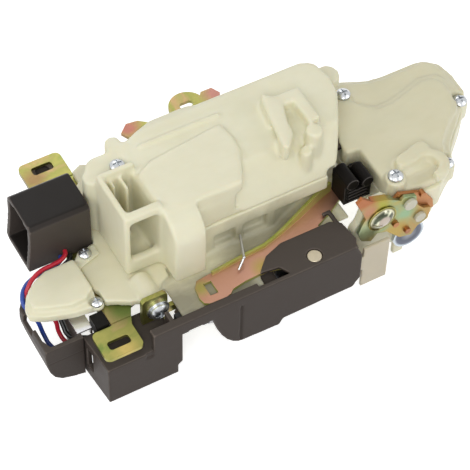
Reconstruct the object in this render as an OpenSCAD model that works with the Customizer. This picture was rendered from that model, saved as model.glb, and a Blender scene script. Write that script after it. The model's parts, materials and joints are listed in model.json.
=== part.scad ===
// Vehicle door lock: latch with striker mouth, central locking actuator, levers and wiring.
// Lengths are in millimetres. X runs along the lock, Y runs back from the latch face,
// Z points out of the actuator side. The origin is the point of the front tab's top face
// where the middle line behind its fixing slot meets the seat of the screw head.

/* [Latch cover] */
// Length of the black latch cover
cover_length = 112; // [108:1:118]
// Height of the latch cover, to the top of the shield
cover_height = 31; // [30:0.5:34]
// Depth of the latch between its front face and the latch plate
latch_depth = 12.6; // [12.6:0.2:15]
// Height of the box below the front tab
box_height = 21.5; // [19:0.5:22.5]
// Depth of the box below the front tab
box_depth = 19; // [17:0.5:21]
// Wall thickness of the black mouldings
shell = 1.8; // [1.4:0.1:2.2]
// Width of the striker mouth
mouth_width = 13; // [12:0.5:13.5]
// Height of the top of the striker mouth
mouth_top = 24.5; // [23:0.5:25]

/* [Latch parts] */
// Thickness of the steel latch plate
latch_plate_t = 2; // [1.6:0.1:3]
// Thickness of the fork and the pawl
fork_t = 3.2; // [2.6:0.1:3.6]
// Radius of the fork pin
fork_pin_r = 3.2; // [2.6:0.1:3.6]
// Radius of the pawl pin
pawl_pin_r = 2.6; // [2:0.1:3]
// Running clearance around the pins
running_gap = 0.06; // [0.03:0.01:0.09]

/* [Carrier bracket] */
// Thickness of the pressed steel bracket and levers
plate_t = 1.5; // [1.2:0.1:1.6]
// Length of the fixing slots
slot_length = 9; // [7:0.5:10]
// Width of the fixing slots
slot_width = 4; // [3:0.2:5]
// Distance between the two fixing slots along Y
slot_pitch_y = 90.5; // [89:0.5:93]
// Offset between the two fixing slots along X
slot_pitch_x = 11.5; // [10:0.5:13]
// Radius of the flange screw head
flange_head_r = 4.7; // [4:0.1:5]

/* [Actuator housing] */
// Length of the actuator housing
housing_length = 96; // [94:1:98]
// Depth of the actuator housing along Y
housing_depth = 42; // [42:0.5:45]
// Height of the lower tray
base_height = 17; // [16:0.5:18]
// Height of the upper shell above the tray
shell_height = 17; // [17:0.5:20]
// Wall thickness of the nylon mouldings
nylon_wall = 2; // [1.6:0.1:2.2]
// Height of the raised panel over the motor
panel_rise = 2.4; // [1:0.2:4]
// Width of the front box on the actuator shell
front_box_width = 13.5; // [12:0.5:14.5]
// Radius of the housing screw heads
screw_head_r = 3; // [2.4:0.1:3.4]

/* [Drive] */
// Radius of the motor can
motor_r = 9.5; // [8:0.5:9.5]
// Length of the motor can
motor_length = 24; // [22:1:25]
// Tip radius of the worm wheel
wheel_r = 12; // [11:0.25:12.5]
// Pitch radius of the pinion on the worm wheel
pinion_r = 5; // [4.5:0.25:5.5]
// Number of teeth on the worm wheel
wheel_teeth = 24; // [18:1:30]

/* [Connector and wires] */
// Length of the connector along X
plug_length = 26.5; // [24:0.5:28]
// Depth of the connector along Y
plug_depth = 20.5; // [19:0.5:21]
// Height of the connector
plug_height = 25; // [22:0.5:27]
// Radius of each wire
wire_r = 0.9; // [0.7:0.1:1]

/* [Lever housing] */
// Height of the lower part of the lever housing
lever_base_height = 12; // [10:0.5:13]
// Height of the lid of the lever housing
lever_lid_height = 9; // [7:0.5:11]
// Radius of the rod held by the snap clip
rod_r = 2; // [1.6:0.1:2.2]

/* [Hidden] */
$fn = 48;
black = [0.17, 0.15, 0.14];
zinc = [0.72, 0.66, 0.35];
cream = [0.87, 0.84, 0.72];
bright = [0.78, 0.79, 0.8];
steel = [0.55, 0.56, 0.58];
copper_zinc = [0.8, 0.6, 0.4];

slot_x = 8.3;
slot_y = 7;
origin_y = 12.2;
slot_corner = 1.2;
press_depth = 0.3;
tab_z = 26.5;
shelf_t = 0.9;
shelf_z = tab_z + shelf_t;
mouth_x = 32;
mouth_end = mouth_x + mouth_width;
plate_y = latch_depth;
latch_back = latch_depth + latch_plate_t;
fork_y = latch_depth - 0.25 - fork_t;
fork_at = [53, 18.5];
pawl_at = [79, 17];
sector_r = 10.7;
housing_x = 24;
housing_y = 27.5;
main_x = 39;
housing_end = housing_x + housing_length;
drawn_end = 120;
end_shift = housing_end - drawn_end;
lever_shift = max(cover_length + 8, housing_end) - drawn_end;
housing_stop = housing_end - lever_shift;
cover_stop = cover_length - lever_shift;
clip_x = housing_end - 4.2;
housing_back = housing_y + housing_depth + 4;
seam_z = tab_z + base_height;
shell_top = seam_z + shell_height;
frame_top = shell_top + 4;
motor_y = 60;
motor_z = tab_z + 19;
motor_x = 49;
worm_r = 3.4;
wheel_x = 86;
wheel_y = motor_y - worm_r - 0.3 - wheel_r;
rack_y = wheel_y - pinion_r;
peg_y = 43.2;
lock_pivot = [148 + lever_shift, peg_y - 12.9];
plug_x = -5.6;
plug_y = 52.5;
plug_z = 26.8;
lever_z = shelf_z + 0.2;
lever_top = lever_z + plate_t;
lever_pivot = [92.3, 4.6];
lever_lo = 20;
lever_mid = lever_lo + lever_base_height;
lever_hi = lever_mid + lever_lid_height;
key_at = [124, 33];
key_y = 6.5;
outer_pivot = [84, 66];

// Moves a piece from the drawing's corner to the origin on the front tab
module placed() {
  translate([-slot_x, -origin_y, -tab_z]) children();
}

// Moves the lever side with the longer of the cover and the actuator
module lever_side() {
  translate([lever_shift, 0, 0]) children();
}

// Upright prism from an outline seen from above
module prism(points, z, height) {
  translate([0, 0, z]) linear_extrude(height) polygon(points);
}

// Prism along Y from an outline seen from the front
module prism_y(points, y, depth) {
  translate([0, y + depth, 0]) rotate([90, 0, 0]) linear_extrude(depth) polygon(points);
}

// Block given by its two opposite corners
module block(low, high) {
  translate(low) cube(high - low);
}

// Round bar along Y
module bar_y(x, y, z, r, length) {
  translate([x, y, z]) rotate([-90, 0, 0]) cylinder(r = r, h = length);
}

// Round bar along X
module bar_x(x, y, z, r, length) {
  translate([x, y, z]) rotate([0, 90, 0]) cylinder(r = r, h = length);
}

// Round bar along Z
module bar_z(x, y, z, r, length) {
  translate([x, y, z]) cylinder(r = r, h = length);
}

// Flat slot outline centred on the origin, long side along X
module slot_outline(length, width) {
  square([length - width, width], center = true);
  translate([(length - width) / 2, 0]) circle(d = width);
  translate([-(length - width) / 2, 0]) circle(d = width);
}

// Flat rectangle with round corners, from its low corner
module round_rect(size, r) {
  translate([r, 0]) square([size[0] - 2 * r, size[1]]);
  translate([0, r]) square([size[0], size[1] - 2 * r]);
  for (x = [r, size[0] - r], y = [r, size[1] - r])
    translate([x, y]) circle(r = r);
}

// Cross slot cut into a screw head
module drive_cut(r, depth) {
  for (a = [0, 90])
    rotate([0, 0, a]) translate([-r * 0.6, -r * 0.13, 0]) cube([r * 1.2, r * 0.26, depth]);
}

// Domed screw standing on z = 0 with its shank below
module dome_screw(head_r, shank_r, shank_length) {
  difference() {
    union() {
      cylinder(r = head_r, h = head_r * 0.3);
      intersection() {
        translate([0, 0, head_r * 0.3 - head_r * 0.95]) sphere(r = head_r * 1.38);
        cylinder(r = head_r, h = head_r);
      }
      translate([0, 0, -shank_length]) cylinder(r = shank_r, h = shank_length);
    }
    translate([0, 0, head_r * 0.3]) drive_cut(head_r, head_r);
  }
}

// Front outline of the latch cover with the striker mouth and the rounded tongue
function cover_outline() = [
  [0, 0], [mouth_x - 2, 0], [mouth_x - 2, 5], [mouth_x, 6.5], [mouth_x, mouth_top],
  [mouth_end, mouth_top], [mouth_end + 0.8, 21], [mouth_end + 2.2, 16.4],
  [mouth_end + 4.2, 11.4], [mouth_end + 6.6, 7.2], [mouth_end + 9.2, 4.2], [mouth_end + 11.6, 2.6],
  [mouth_end + 14, 2.2], [75, 1.6], [77, 4.8], [cover_length - 3.5, 5],
  [cover_length, 9.4], [cover_length, 24], [cover_length - 3, cover_height],
  [19.5, cover_height], [19.5, 19], [18.8, 18.2], [16.8, 18.2], [16, 19],
  [16, box_height], [0, box_height]];

// Black cover over the latch with its box, rail, tongue and shield
module latch_cover() {
  color(black) placed() difference() {
    union() {
      prism_y(cover_outline(), 0, shell);
      // box at the left end
      difference() {
        prism([[0, 0.5], [mouth_x - 2, 0.5], [mouth_x - 2, box_depth], [-1.4, box_depth]], 0, box_height);
        prism([[shell, 1], [mouth_x - 2 - shell, 1], [mouth_x - 2 - shell, box_depth + 1],
          [shell - 1.2, box_depth + 1]], shell, box_height - 2 * shell);
      }
      // rail ledge along the top
      block([19.5, 0.5, cover_height - 1.6], [66, 3.6, cover_height]);
      block([mouth_x - 2 - shell, 0.5, box_height - 0.5], [mouth_x - 2, 8.4, cover_height]);
      // shield over the release lever
      prism([[80.5, 0.5], [77.4, 6.2], [69.4, 7.2], [71.6, 9.6], [75.5, 13.4], [83.6, 16.2], [106, 16.2],
        [110, 13.5], [cover_length - 1, 4], [cover_length - 3, 0.5]], cover_height - 1.6, 1.6);
      // retaining hook at the corner of the shield
      block([107.6, 12, cover_height - 1.4], [109.2, 21.4, cover_height]);
      block([105.4, 20, cover_height - 1.4], [108, 21.4, cover_height]);
      // inner floor below the recess
      block([60, 0.5, tab_z - 1.2], [76, plate_y - 0.3, tab_z - 0.4]);
      // floor and end wall of the latch pocket
      block([mouth_end + 13, 0.5, 2.2], [75, plate_y, 2.2 + shell]);
      block([75, 0.5, 5], [cover_length - 3.5, plate_y, 5 + shell]);
      block([73.6, 0.5, 2.2], [76, plate_y, 5 + shell]);
      block([cover_length - 1.5, 0.5, 10], [cover_length, plate_y + 1, 24]);
      block([cover_length - 4, 0.5, 5], [cover_length - 2, plate_y, cover_height - 1]);
      // post for the pin of the release lever
      block([lever_pivot[0] - 3, 0.5, 12], [lever_pivot[0] + 3, lever_pivot[1] + 3, lever_z - 0.3]);
    }
    // shallow groove beside the tongue and panel line on the right
    block([mouth_end + 12.2, -1, 2.8], [mouth_end + 13.2, 0.9, cover_height - 5]);
    block([77, -1, 6], [77.5, 0.4, cover_height - 5]);
    // window over the lever pin and relief for the eye of the lever
    bar_z(lever_pivot[0], lever_pivot[1], cover_height - 2, 3.2, 6);
    bar_z(lever_pivot[0], lever_pivot[1], 14, 2, 30);
    bar_z(lever_pivot[0], lever_pivot[1], lever_z - 0.3, 3.9, plate_t + 0.4);
    // wire entry in the back of the left wall
    block([-3, 12, 6], [shell + 1, box_depth - 3, box_height - 4]);
  }
}

// Open black channel that leads the wires past the box
module wire_channel() {
  color(black) placed() difference() {
    intersection() {
      translate([-21, 0, 0]) rotate([90, 0, 90]) linear_extrude(40)
        polygon([[17, 0], [20, 0.5], [30, 8], [46, 20.5], [46, 24], [17, 24]]);
      prism_y([[-17.6, 24], [-18, 20], [-17.4, 14.4], [-16.4, 9.4], [-14.6, 5.6], [-11.8, 3], [-7, 1.2],
        [-1.8, 0], [-1.8, 24]], 10, 40);
      prism([[-18, 10], [-1.8, 10], [-1.8, 47], [-13, 47], [-18, 40]], -1, 30);
    }
    prism([[-16.2, 23], [-14.6, 19], [-3.4, 19], [-3.4, 44], [-12, 44], [-16.2, 38.6]], -1, 30);
    // opening towards the box
    block([-4, 21.4, 8.2], [-1, 27.8, 16]);
    // seam line along the front
    block([-18, 16, 15.4], [0, 17.3, 15.9]);
    // dip in the left wall
    block([-21, 29, 20], [-15, 37, 25]);
  }
}

// Steel plate behind the latch, with the ear for the flange screw
module latch_plate() {
  color(zinc) placed() difference() {
    prism_y([[mouth_x - 1.6, 4], [75, 4], [80, 7.2], [105, 7.2], [cover_length - 5, 11],
      [cover_length - 5, tab_z], [32, tab_z], [32, 35], [30.8, 36.2], [22.4, 36.2],
      [21.2, 35], [21.2, box_height + 0.4], [mouth_x - 1.6, box_height + 0.4]],
      plate_y, latch_plate_t);
    block([mouth_x, plate_y - 1, 0], [mouth_end, latch_back + 1, 23]);
    prism_y([[mouth_end - 1, 0], [mouth_end + 8, 0], [mouth_end - 1, 14]], plate_y - 1, 5);
    bar_y(fork_at[0], 0, fork_at[1], fork_pin_r, 30);
    bar_y(pawl_at[0], 0, pawl_at[1], pawl_pin_r, 30);
    bar_y(27.6, 0, 28.6, 2.6, 30);
  }
}

// Outline of the fork core: hub, two arms around the striker and the cam sector
module fork_outline(extra) {
  circle(r = 6.3 + extra);
  // upper arm and catch arm
  polygon([[2, 6.2 + extra], [-17 - extra, 6.4 + extra], [-18.5 - extra, 3.6 - extra], [-9, 3.2 - extra],
    [-7.6 - extra, 0], [-9, -3.4 + extra], [-14.8 - extra, -4.6 + extra], [-15.6 - extra, -6.4 - extra],
    [-6, -7.6 - extra], [0, -6.2 - extra]]);
}

// Striker fork, stored latched with its slot around the striker
module fork() {
  color(steel) placed() translate([fork_at[0], fork_y + fork_t, fork_at[1]]) rotate([90, 0, 0])
    linear_extrude(fork_t) difference() {
      union() {
        fork_outline(-0.8);
        // cam sector that the pawl drops behind
        intersection() {
          circle(r = sector_r);
          polygon([[0, 0], [-7.6, -14], [4.6, -14]]);
        }
      }
      circle(r = fork_pin_r + running_gap);
    }
}

// Plastic sleeve moulded around the arms of the fork
module fork_sleeve() {
  color(black) placed() translate([fork_at[0], fork_y + fork_t, fork_at[1]]) rotate([90, 0, 0])
    linear_extrude(fork_t) difference() {
      intersection() {
        fork_outline(0);
        translate([-24, -10]) square([19, 20]);
      }
      fork_outline(-0.8);
      circle(r = 6.4);
      intersection() {
        circle(r = sector_r);
        polygon([[0, 0], [-7.6, -14], [4.6, -14]]);
      }
    }
}

// Stepped pin that carries the fork
module fork_pin() {
  color(bright) placed() {
    bar_y(fork_at[0], shell, fork_at[1], fork_pin_r, latch_back - shell);
    bar_y(fork_at[0], latch_back, fork_at[1], fork_pin_r + 1.2, 1.2);
  }
}

// Coil with two legs, drawn as stacked closed turns around a pin
module coil(x, y, z, r, wire, turns) {
  translate([x, y, z]) rotate([-90, 0, 0]) rotate_extrude() for (i = [0 : turns - 1])
    translate([r, wire + i * wire * 1.75]) circle(r = wire, $fn = 12);
}

// Return spring of the fork
module fork_spring() {
  color(bright) placed() {
    coil(fork_at[0], shell + 0.2, fork_at[1], fork_pin_r + 0.75, 0.6, 4);
    bar_z(fork_at[0] + 0.3, shell + 0.87, fork_at[1] + fork_pin_r + 0.5, 0.4, 3);
    translate([fork_at[0] - 3.4, shell + 3.83, fork_at[1] + 0.17]) rotate([0, -90, 0])
      cylinder(r = 0.4, h = 4);
  }
}

// Pawl that holds the fork, stored lifted clear of its step
module pawl() {
  color(steel) placed() translate([pawl_at[0], fork_y + fork_t, pawl_at[1]]) rotate([90, 0, 0])
    linear_extrude(fork_t) difference() {
      union() {
        circle(r = 5);
        polygon([[0, 5], [-3, 4], [-9, -3.4], [-15.4, -6.2], [-20.4, -8], [-20.8, -10.6],
          [-17, -11], [-10, -9.6], [0, -5]]);
        polygon([[-2, 4.5], [2, 4.5], [3, 8.2], [-1, 8.2]]);
      }
      circle(r = pawl_pin_r + running_gap);
    }
}

// Pin that carries the pawl
module pawl_pin() {
  color(bright) placed() {
    bar_y(pawl_at[0], shell, pawl_at[1], pawl_pin_r, latch_back - shell);
    bar_y(pawl_at[0], latch_back, pawl_at[1], pawl_pin_r + 1, 1.2);
  }
}

// Spring that presses the pawl towards the fork
module pawl_spring() {
  color(bright) placed() {
    coil(pawl_at[0], shell + 0.2, pawl_at[1], pawl_pin_r + 0.65, 0.5, 4);
    bar_x(pawl_at[0] + pawl_pin_r + 0.4, shell + 0.77, pawl_at[1] + 0.13, 0.35, 7);
    bar_z(pawl_at[0] + 0.23, shell + 3.13, pawl_at[1] + pawl_pin_r + 0.4, 0.35, 4);
  }
}

// Rubber stop behind the rail that catches the striker
module mouth_buffer() {
  color(black) placed() difference() {
    block([mouth_x + 0.5, shell, 21.5], [mouth_end - 0.5, fork_y - 0.4, tab_z - 0.2]);
    translate([mouth_x + mouth_width / 2, 0, 18.6]) rotate([-90, 0, 0]) cylinder(r = 4.4, h = 20);
  }
}

// Door contact switch in the left box
module door_switch() {
  color(steel) placed() {
    block([5, shell, shell], [24, 12, 13]);
    block([9, 12, 5], [11.5, 14.4, 7.5]);
    block([14, 12, 5], [16.5, 14.4, 7.5]);
    block([24, 4, 8], [26.5, 7, 11]);
  }
}

// Pressed steel carrier with a slotted tab at each end
module carrier_bracket() {
  color(zinc) placed() difference() {
    translate([0, 0, tab_z - plate_t]) linear_extrude(plate_t) union() {
      translate([slot_x - 8, slot_y - 5.8]) round_rect([16.2, 14], 2.4);
      polygon([[6.4, 12], [16.4, 12], [18, 16], [20, 20], [34, 24], [36, 60], [31, 84], [14, 84],
        [9, 60], [7.4, 30], [7.6, 24.4], [9.3, 22.6], [9.3, 15]]);
      translate([slot_x + slot_pitch_x - 9, slot_pitch_y - 8.6]) round_rect([18.6, 21], 2.6);
    }
    for (at = [[0, 0], [slot_pitch_x, slot_pitch_y]])
      translate([slot_x + at[0] - slot_length / 2, slot_y + at[1] - slot_width / 2, tab_z - 5])
        linear_extrude(10) round_rect([slot_length, slot_width], slot_corner);
    // pressed lines across the feet of the two tabs
    block([4, 15.4, tab_z - press_depth], [22, 16, tab_z + 1]);
    block([6, slot_y + slot_pitch_y - 9.1, tab_z - press_depth],
      [40, slot_y + slot_pitch_y - 8.5, tab_z + 1]);
    bar_z(22, 78, 0, 2, 60);
    bar_y(27.6, 10, 28.6, 2.7, 30);
  }
}

// Large domed screw with a flange on the ear of the latch plate
module flange_screw() {
  color(bright) placed() {
    translate([27.6, plate_y, 28.6]) rotate([90, 0, 0]) {
      cylinder(r = flange_head_r, h = 0.9);
      translate([0, 0, 0.9]) dome_screw(flange_head_r * 0.82, 1, 0.5);
    }
    bar_y(27.6, plate_y - 0.1, 28.6, 2.5, 12);
  }
}

// Plan outline of the actuator housing, grown by the given amount
function housing_plan(g) = [
  [main_x - g, housing_y - g], [housing_end - 5 + g, housing_y - g], [housing_end + g, housing_y + 8],
  [housing_end + 9 + g, housing_y + 24], [housing_end + 10.6 + g, housing_back - 13],
  [housing_end + 9 + g, housing_back - 4 + g], [housing_end + 4, housing_back + g],
  [main_x + 37, housing_back + g], [main_x + 35, housing_back + 1.6 + g],
  [main_x + 18, housing_back + 1.6 + g], [main_x + 6 - g, housing_back - 4 + g],
  [main_x - g, housing_back - 6 + g]];

// Space for the release lever and its clip in front of the housing
module lever_space(g) {
  prism([[86 - g, 27], [90, 29.2 + g], [98, 32.2 + g], [105, 34.6 + g], [clip_x - 3.8, 37.4 + g],
    [clip_x + 16.2, 39.2 + g], [clip_x + 16.2, 20], [86 - g, 20]], shelf_z, 8.6 + g);
  prism([[clip_x - 4.2 - g, 20], [clip_x - 4.2 - g, 29], [clip_x + 0.2, 36.4 + g],
    [clip_x + 16.2, 39.2 + g], [clip_x + 16.2, 20]], shelf_z, 18.6 + g);
}

// Lower tray of the actuator with the shelf below the release lever
module actuator_base() {
  color(cream) placed() difference() {
    union() {
      prism(housing_plan(0), tab_z, base_height);
      // low floor below the ladder frame, up to the latch plate
      prism([[11.4, 24.2], [15, 22.6], [20, 19.6], [24.4, 18.4], [32, 18.4], [34.5, 22],
        [main_x - 0.3, 24], [main_x - 0.3, 28], [main_x + 1, 28],
        [main_x + 1, housing_back - 4], [40, 86], [33, 90], [28.6, 88], [28.6, 82],
        [24.5, 79], [20, 74], [18, 66], [20.4, 62], [20.4, 52], [12, 50], [10, 44], [10, 32], [11.4, 29.6]],
        tab_z, 3.3);
      intersection() {
        bar_y(27.6, latch_back + 0.1, 28.6, 4.4, 14);
        block([20, 10, tab_z], [36, 40, 40]);
      }
      // shelf
      prism([[34.5, 3.8], [70, 3.8], [71, 16.6], [housing_end - 4, 16.6], [housing_end - 4, 31],
        [34.5, 31]], tab_z, shelf_t);
      // column under the screw beside the ladder frame
      bar_z(35.5, 59.5, tab_z + 3, 4.4, shell_top - tab_z - 5);
    }
    // seats of the ladder frame, the front box and the lug of the shell
    block([main_x - 1, housing_y - 1, tab_z + 3.3], [main_x + 1.02, housing_back + 5, seam_z + 1]);
    block([main_x, housing_y - 1, lever_top + 0.5], [main_x + front_box_width + 0.02, 34.02, seam_z + 1]);
    bar_z(39, 70.4, tab_z + 3.4, 3.42, 40);
    // motor and gear cavity behind the wall of the lever space
    difference() {
      translate([0, 0, tab_z + 2]) linear_extrude(base_height) intersection() {
        polygon(housing_plan(-nylon_wall));
        translate([main_x + 3, housing_y + 5.5]) square([200, 200]);
      }
      lever_space(1.4);
      bar_z(35.5, 59.5, tab_z, 6, 50);
    }
    bar_x(motor_x - 2, motor_y, motor_z, motor_r + 0.3, motor_length + 4);
    bar_z(wheel_x, wheel_y, motor_z - 3.6, wheel_r + 0.5, 20);
    lever_space(0);
    // windows in the front wall above the shelf
    block([60.5, housing_y - 1, tab_z + 2.4], [70, housing_y + 3, tab_z + 9.4]);
    block([73.4, housing_y - 1, tab_z + 2.4], [84, housing_y + 3, tab_z + 9.4]);
    // slider exit into the lever housing
    block([housing_end - 2, peg_y - 2.4, tab_z + 9.6], [housing_end + 20, peg_y + 2.4, tab_z + 15.4]);
    bar_z(35.5, 59.5, tab_z + 20, 1.5, 40);
    bar_z(14.2, 47.2, tab_z - 1, 1.5, 10);
    bar_y(27.6, 0, 28.6, 2.5, 27);
    bar_z(wheel_x, wheel_y, tab_z + 1, 1.5, 4);
  }
}

// Upper shell with the motor dome, ladder frame, front box and rod guides
module actuator_shell() {
  color(cream) placed() difference() {
    union() {
      // main shell with its sloping front shoulder
      intersection() {
        prism(housing_plan(0), seam_z + 0.2, shell_height);
        translate([main_x - 1, 0, 0]) rotate([90, 0, 90]) linear_extrude(110)
          polygon([[housing_y, seam_z], [housing_y + 1.4, seam_z + 3], [38.6, shell_top],
            [housing_back - 3, shell_top], [housing_back + 4, shell_top - 3], [housing_back + 4, seam_z],
            [housing_back + 4, 0], [housing_y, 0]]);
      }
      // raised panel over the motor
      prism([[main_x, 28.6], [72.6, 27.8], [76, 34], [80, 43], [80.4, 50], [79, 57.8], [main_x + 7.6, 54],
        [main_x + 4.6, 52.4], [main_x, 50]], shell_top - 4, panel_rise + 4);
      prism([[main_x + 1, 28], [72.4, 27.8], [70, 28.4], [66, 30], [main_x + 1, 30]], seam_z + 0.2, 12);
      // long rib on top
      block([46, 62, shell_top - 1], [82, 63.6, shell_top + 1.6]);
      ladder_frame();
      // deck behind the ladder frame
      prism([[housing_x, 55.4], [main_x + 1, 55.4], [main_x + 1, housing_back - 5.4], [34, 68.4],
        [28.5, 68.6], [25.7, 67.2], [23.6, 64], [21, 62], [21, 58]], tab_z + 3.5,
        shell_top - tab_z - 5);
      // front box with its rounded upper edge
      front_box();
      // hook and arch on the right of the top
      translate([end_shift, 0, 0]) {
        prism([[93, 32.6], [95, 31.8], [100.4, 37.4], [101.4, 44], [104, 51], [102, 58], [99, 61],
          [97.4, 57]], shell_top - 3, 9);
        block([101, 52, shell_top - 1], [114, 57.6, shell_top + 5.6]);
        block([108.6, 40, shell_top - 1], [114, 55, shell_top + 5.2]);
        bar_z(108.6, 35.6, shell_top - 10, 3.6, 15);
        bar_z(103.2, 32.2, seam_z + 4, 2.6, shell_top - seam_z - 5);
      }
      // lugs along the back edge
      bar_z(39, 70.4, tab_z + 3.5, 3.4, 30);
      bar_z(housing_end + 14, 67.6, seam_z + 0.2, 5.2, 9);
    }
    // motor and gear cavity
    difference() {
      translate([0, 0, seam_z - 1]) linear_extrude(shell_height + 1 - nylon_wall) intersection() {
        polygon(housing_plan(-nylon_wall - 1));
        translate([main_x + 3, 40]) square([200, 200]);
      }
      lever_space(1.4);
    }
    bar_x(motor_x - 2, motor_y, motor_z, motor_r + 0.3, motor_length + 4);
    bar_z(wheel_x, wheel_y, seam_z - 1, wheel_r + 0.5, 7);
    lever_space(0);
    // pocket over the column of the tray and its screw hole
    bar_z(35.5, 59.5, tab_z, 4.6, shell_top - tab_z - 1.9);
    bar_z(35.5, 59.5, seam_z, 1.8, 60);
    // undercut that makes the finger a hook
    block([90 + end_shift, 40, shell_top + 0.2], [99 + end_shift, 47, shell_top + 2.4]);
  }
}

// Open frame with ladder bars at the left end of the shell
module ladder_frame() {
  low = tab_z + 3.5;
  block([housing_x, 30.5, low], [housing_x + 2.4, 56, frame_top]);
  block([housing_x + 1, 30.5, frame_top - 4.6], [main_x + 1, 34, frame_top]);
  block([housing_x + 1, 30.5, low], [main_x + 1, 34, low + 8]);
  block([housing_x + 1, 53.6, low], [main_x + 1, 56, frame_top]);
  block([housing_x + 1, 31, low], [main_x + 1, 55, low + 3]);
  block([main_x - 0.8, 30, low], [main_x + 1, 56, frame_top - 4]);
  block([28.4, 49, low + 1], [29.8, 55, frame_top - 3]);
  block([32.4, 46, low + 1], [33.8, 55, frame_top - 3]);
}

// Box on the front of the shell with a large round along its upper front edge
module front_box() {
  x0 = main_x;
  x1 = main_x + front_box_width;
  intersection() {
    block([x0, 18.5, lever_top + 0.6], [x1, 34, frame_top]);
    union() {
      block([x0, 18, lever_z], [x1, 35, frame_top - 13]);
      bar_x(x0 - 1, 29.5, frame_top - 13.4, 11, front_box_width + 2);
      block([x0, 28, frame_top - 16], [x1, 35, frame_top - 2]);
    }
  }
}

// Small domed screws that close the housings
module housing_screws() {
  color(bright) placed() {
    translate([35.5, 59.5, shell_top - 1.3]) dome_screw(screw_head_r, 1.4, 12);
    translate([139.8 + lever_shift, 63.2, lever_hi + 0.1]) dome_screw(screw_head_r, 1.5, 5);
    translate([14.2, 47.2, tab_z + 4.7]) dome_screw(screw_head_r * 0.85, 1.3, 3);
    translate([8.4, 25.8, tab_z + 2.4]) dome_screw(screw_head_r * 0.8, 1.2, 2);
    translate([183.4 + lever_shift, 42, lever_mid + 3.1]) dome_screw(screw_head_r, 1.5, 6);
    translate([161.4 + lever_shift, 17.2, lever_mid + 2.1]) dome_screw(screw_head_r * 0.9, 1.4, 4);
    translate([134.6 + lever_shift, 15, lever_hi + 2.5]) dome_screw(screw_head_r * 1.05, 1.5, 5);
  }
}

// Motor can with end cap
module motor_can() {
  color(steel) placed() {
    intersection() {
      bar_x(motor_x, motor_y, motor_z, motor_r, motor_length);
      block([motor_x - 1, motor_y - 20, motor_z - motor_r * 0.84],
        [motor_x + motor_length + 1, motor_y + 20, motor_z + motor_r * 0.84]);
    }
    bar_x(motor_x - 1.5, motor_y, motor_z, 3, 2);
  }
}

// Worm on the motor shaft
module motor_worm() {
  color(copper_zinc) placed() {
    bar_x(motor_x + motor_length, motor_y, motor_z, 1, 26);
    for (i = [0 : 5])
      translate([motor_x + motor_length + 3.5 + i * 3, motor_y, motor_z]) rotate([0, 90, 0]) {
        cylinder(r1 = worm_r - 1.2, r2 = worm_r, h = 1, $fn = 32);
        translate([0, 0, 1]) cylinder(r = worm_r, h = 0.6, $fn = 32);
        translate([0, 0, 1.6]) cylinder(r1 = worm_r, r2 = worm_r - 1.2, h = 1.4, $fn = 32);
      }
  }
}

// Toothed disc, centred on the origin
module toothed(r, teeth, depth, height, width) {
  linear_extrude(height) {
    circle(r = r - depth);
    for (i = [0 : teeth - 1])
      rotate([0, 0, i * 360 / teeth]) translate([r - depth - 0.2, 0])
        polygon([[0, -width], [depth + 0.2, -width / 2], [depth + 0.2, width / 2], [0, width]]);
  }
}

// Worm wheel with the pinion that moves the slider
module worm_wheel() {
  color(cream) placed() translate([wheel_x, wheel_y, 0]) difference() {
    union() {
      translate([0, 0, motor_z - 3]) toothed(wheel_r, wheel_teeth, 1.6, 6, 0.9);
      translate([0, 0, tab_z + 10.6]) toothed(pinion_r + 0.9, 12, 1.9, motor_z - 13.4 - tab_z, 0.6);
      translate([0, 0, tab_z + 2.3]) cylinder(r = 3, h = motor_z - tab_z - 2);
    }
    cylinder(r = 1.5 + running_gap, h = 200);
    for (a = [0 : 60 : 300])
      rotate([0, 0, a]) translate([7.4, 0, motor_z - 4]) cylinder(r = 1.6, h = 20);
  }
}

// Axle of the worm wheel
module wheel_axle() {
  color(bright) placed() bar_z(wheel_x, wheel_y, tab_z + 1, 1.5, 25);
}

// Rack slider that works the lock lever
module lock_slider() {
  z = tab_z + 11.2;
  color(black) placed() {
    block([70, rack_y - 6, z], [103, rack_y - 1.2, z + 4.6]);
    block([98.6, rack_y - 2, z], [103, peg_y + 2, z + 2]);
    block([99, peg_y - 2, z], [lock_pivot[0] + 2, peg_y + 2, z + 2]);
    bar_z(lock_pivot[0], peg_y, lever_lo + 2.6, 1.2, z - lever_lo - 2.4);
    for (i = [0 : 11])
      translate([wheel_x + (i - 5.5) * 2.6, rack_y - 1.3, z])
        linear_extrude(4.6) polygon([[-0.8, 0], [0.8, 0], [0.35, 1.6], [-0.35, 1.6]]);
  }
}

// Two small switches that report the slider position
module position_switches() {
  color(black) placed() for (x = [housing_end - 20, housing_end - 9]) {
    block([x, 60, tab_z + 2], [x + 8, 69, tab_z + 9]);
    block([x + 2, 58.8, tab_z + 4], [x + 4, 60.1, tab_z + 6]);
  }
}

// Stamped strips between connector, motor and switches
module lead_frame() {
  color(copper_zinc) placed() for (i = [0 : 2]) {
    block([42.4, 51 + i * 2.2, tab_z + 2.05], [housing_end - 16 + i * 4, 52.2 + i * 2.2, tab_z + 2.8]);
    block([housing_end - 17.2 + i * 4, 51 + i * 2.2, tab_z + 2.05],
      [housing_end - 16 + i * 4, 59.9, tab_z + 2.8]);
  }
}

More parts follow.
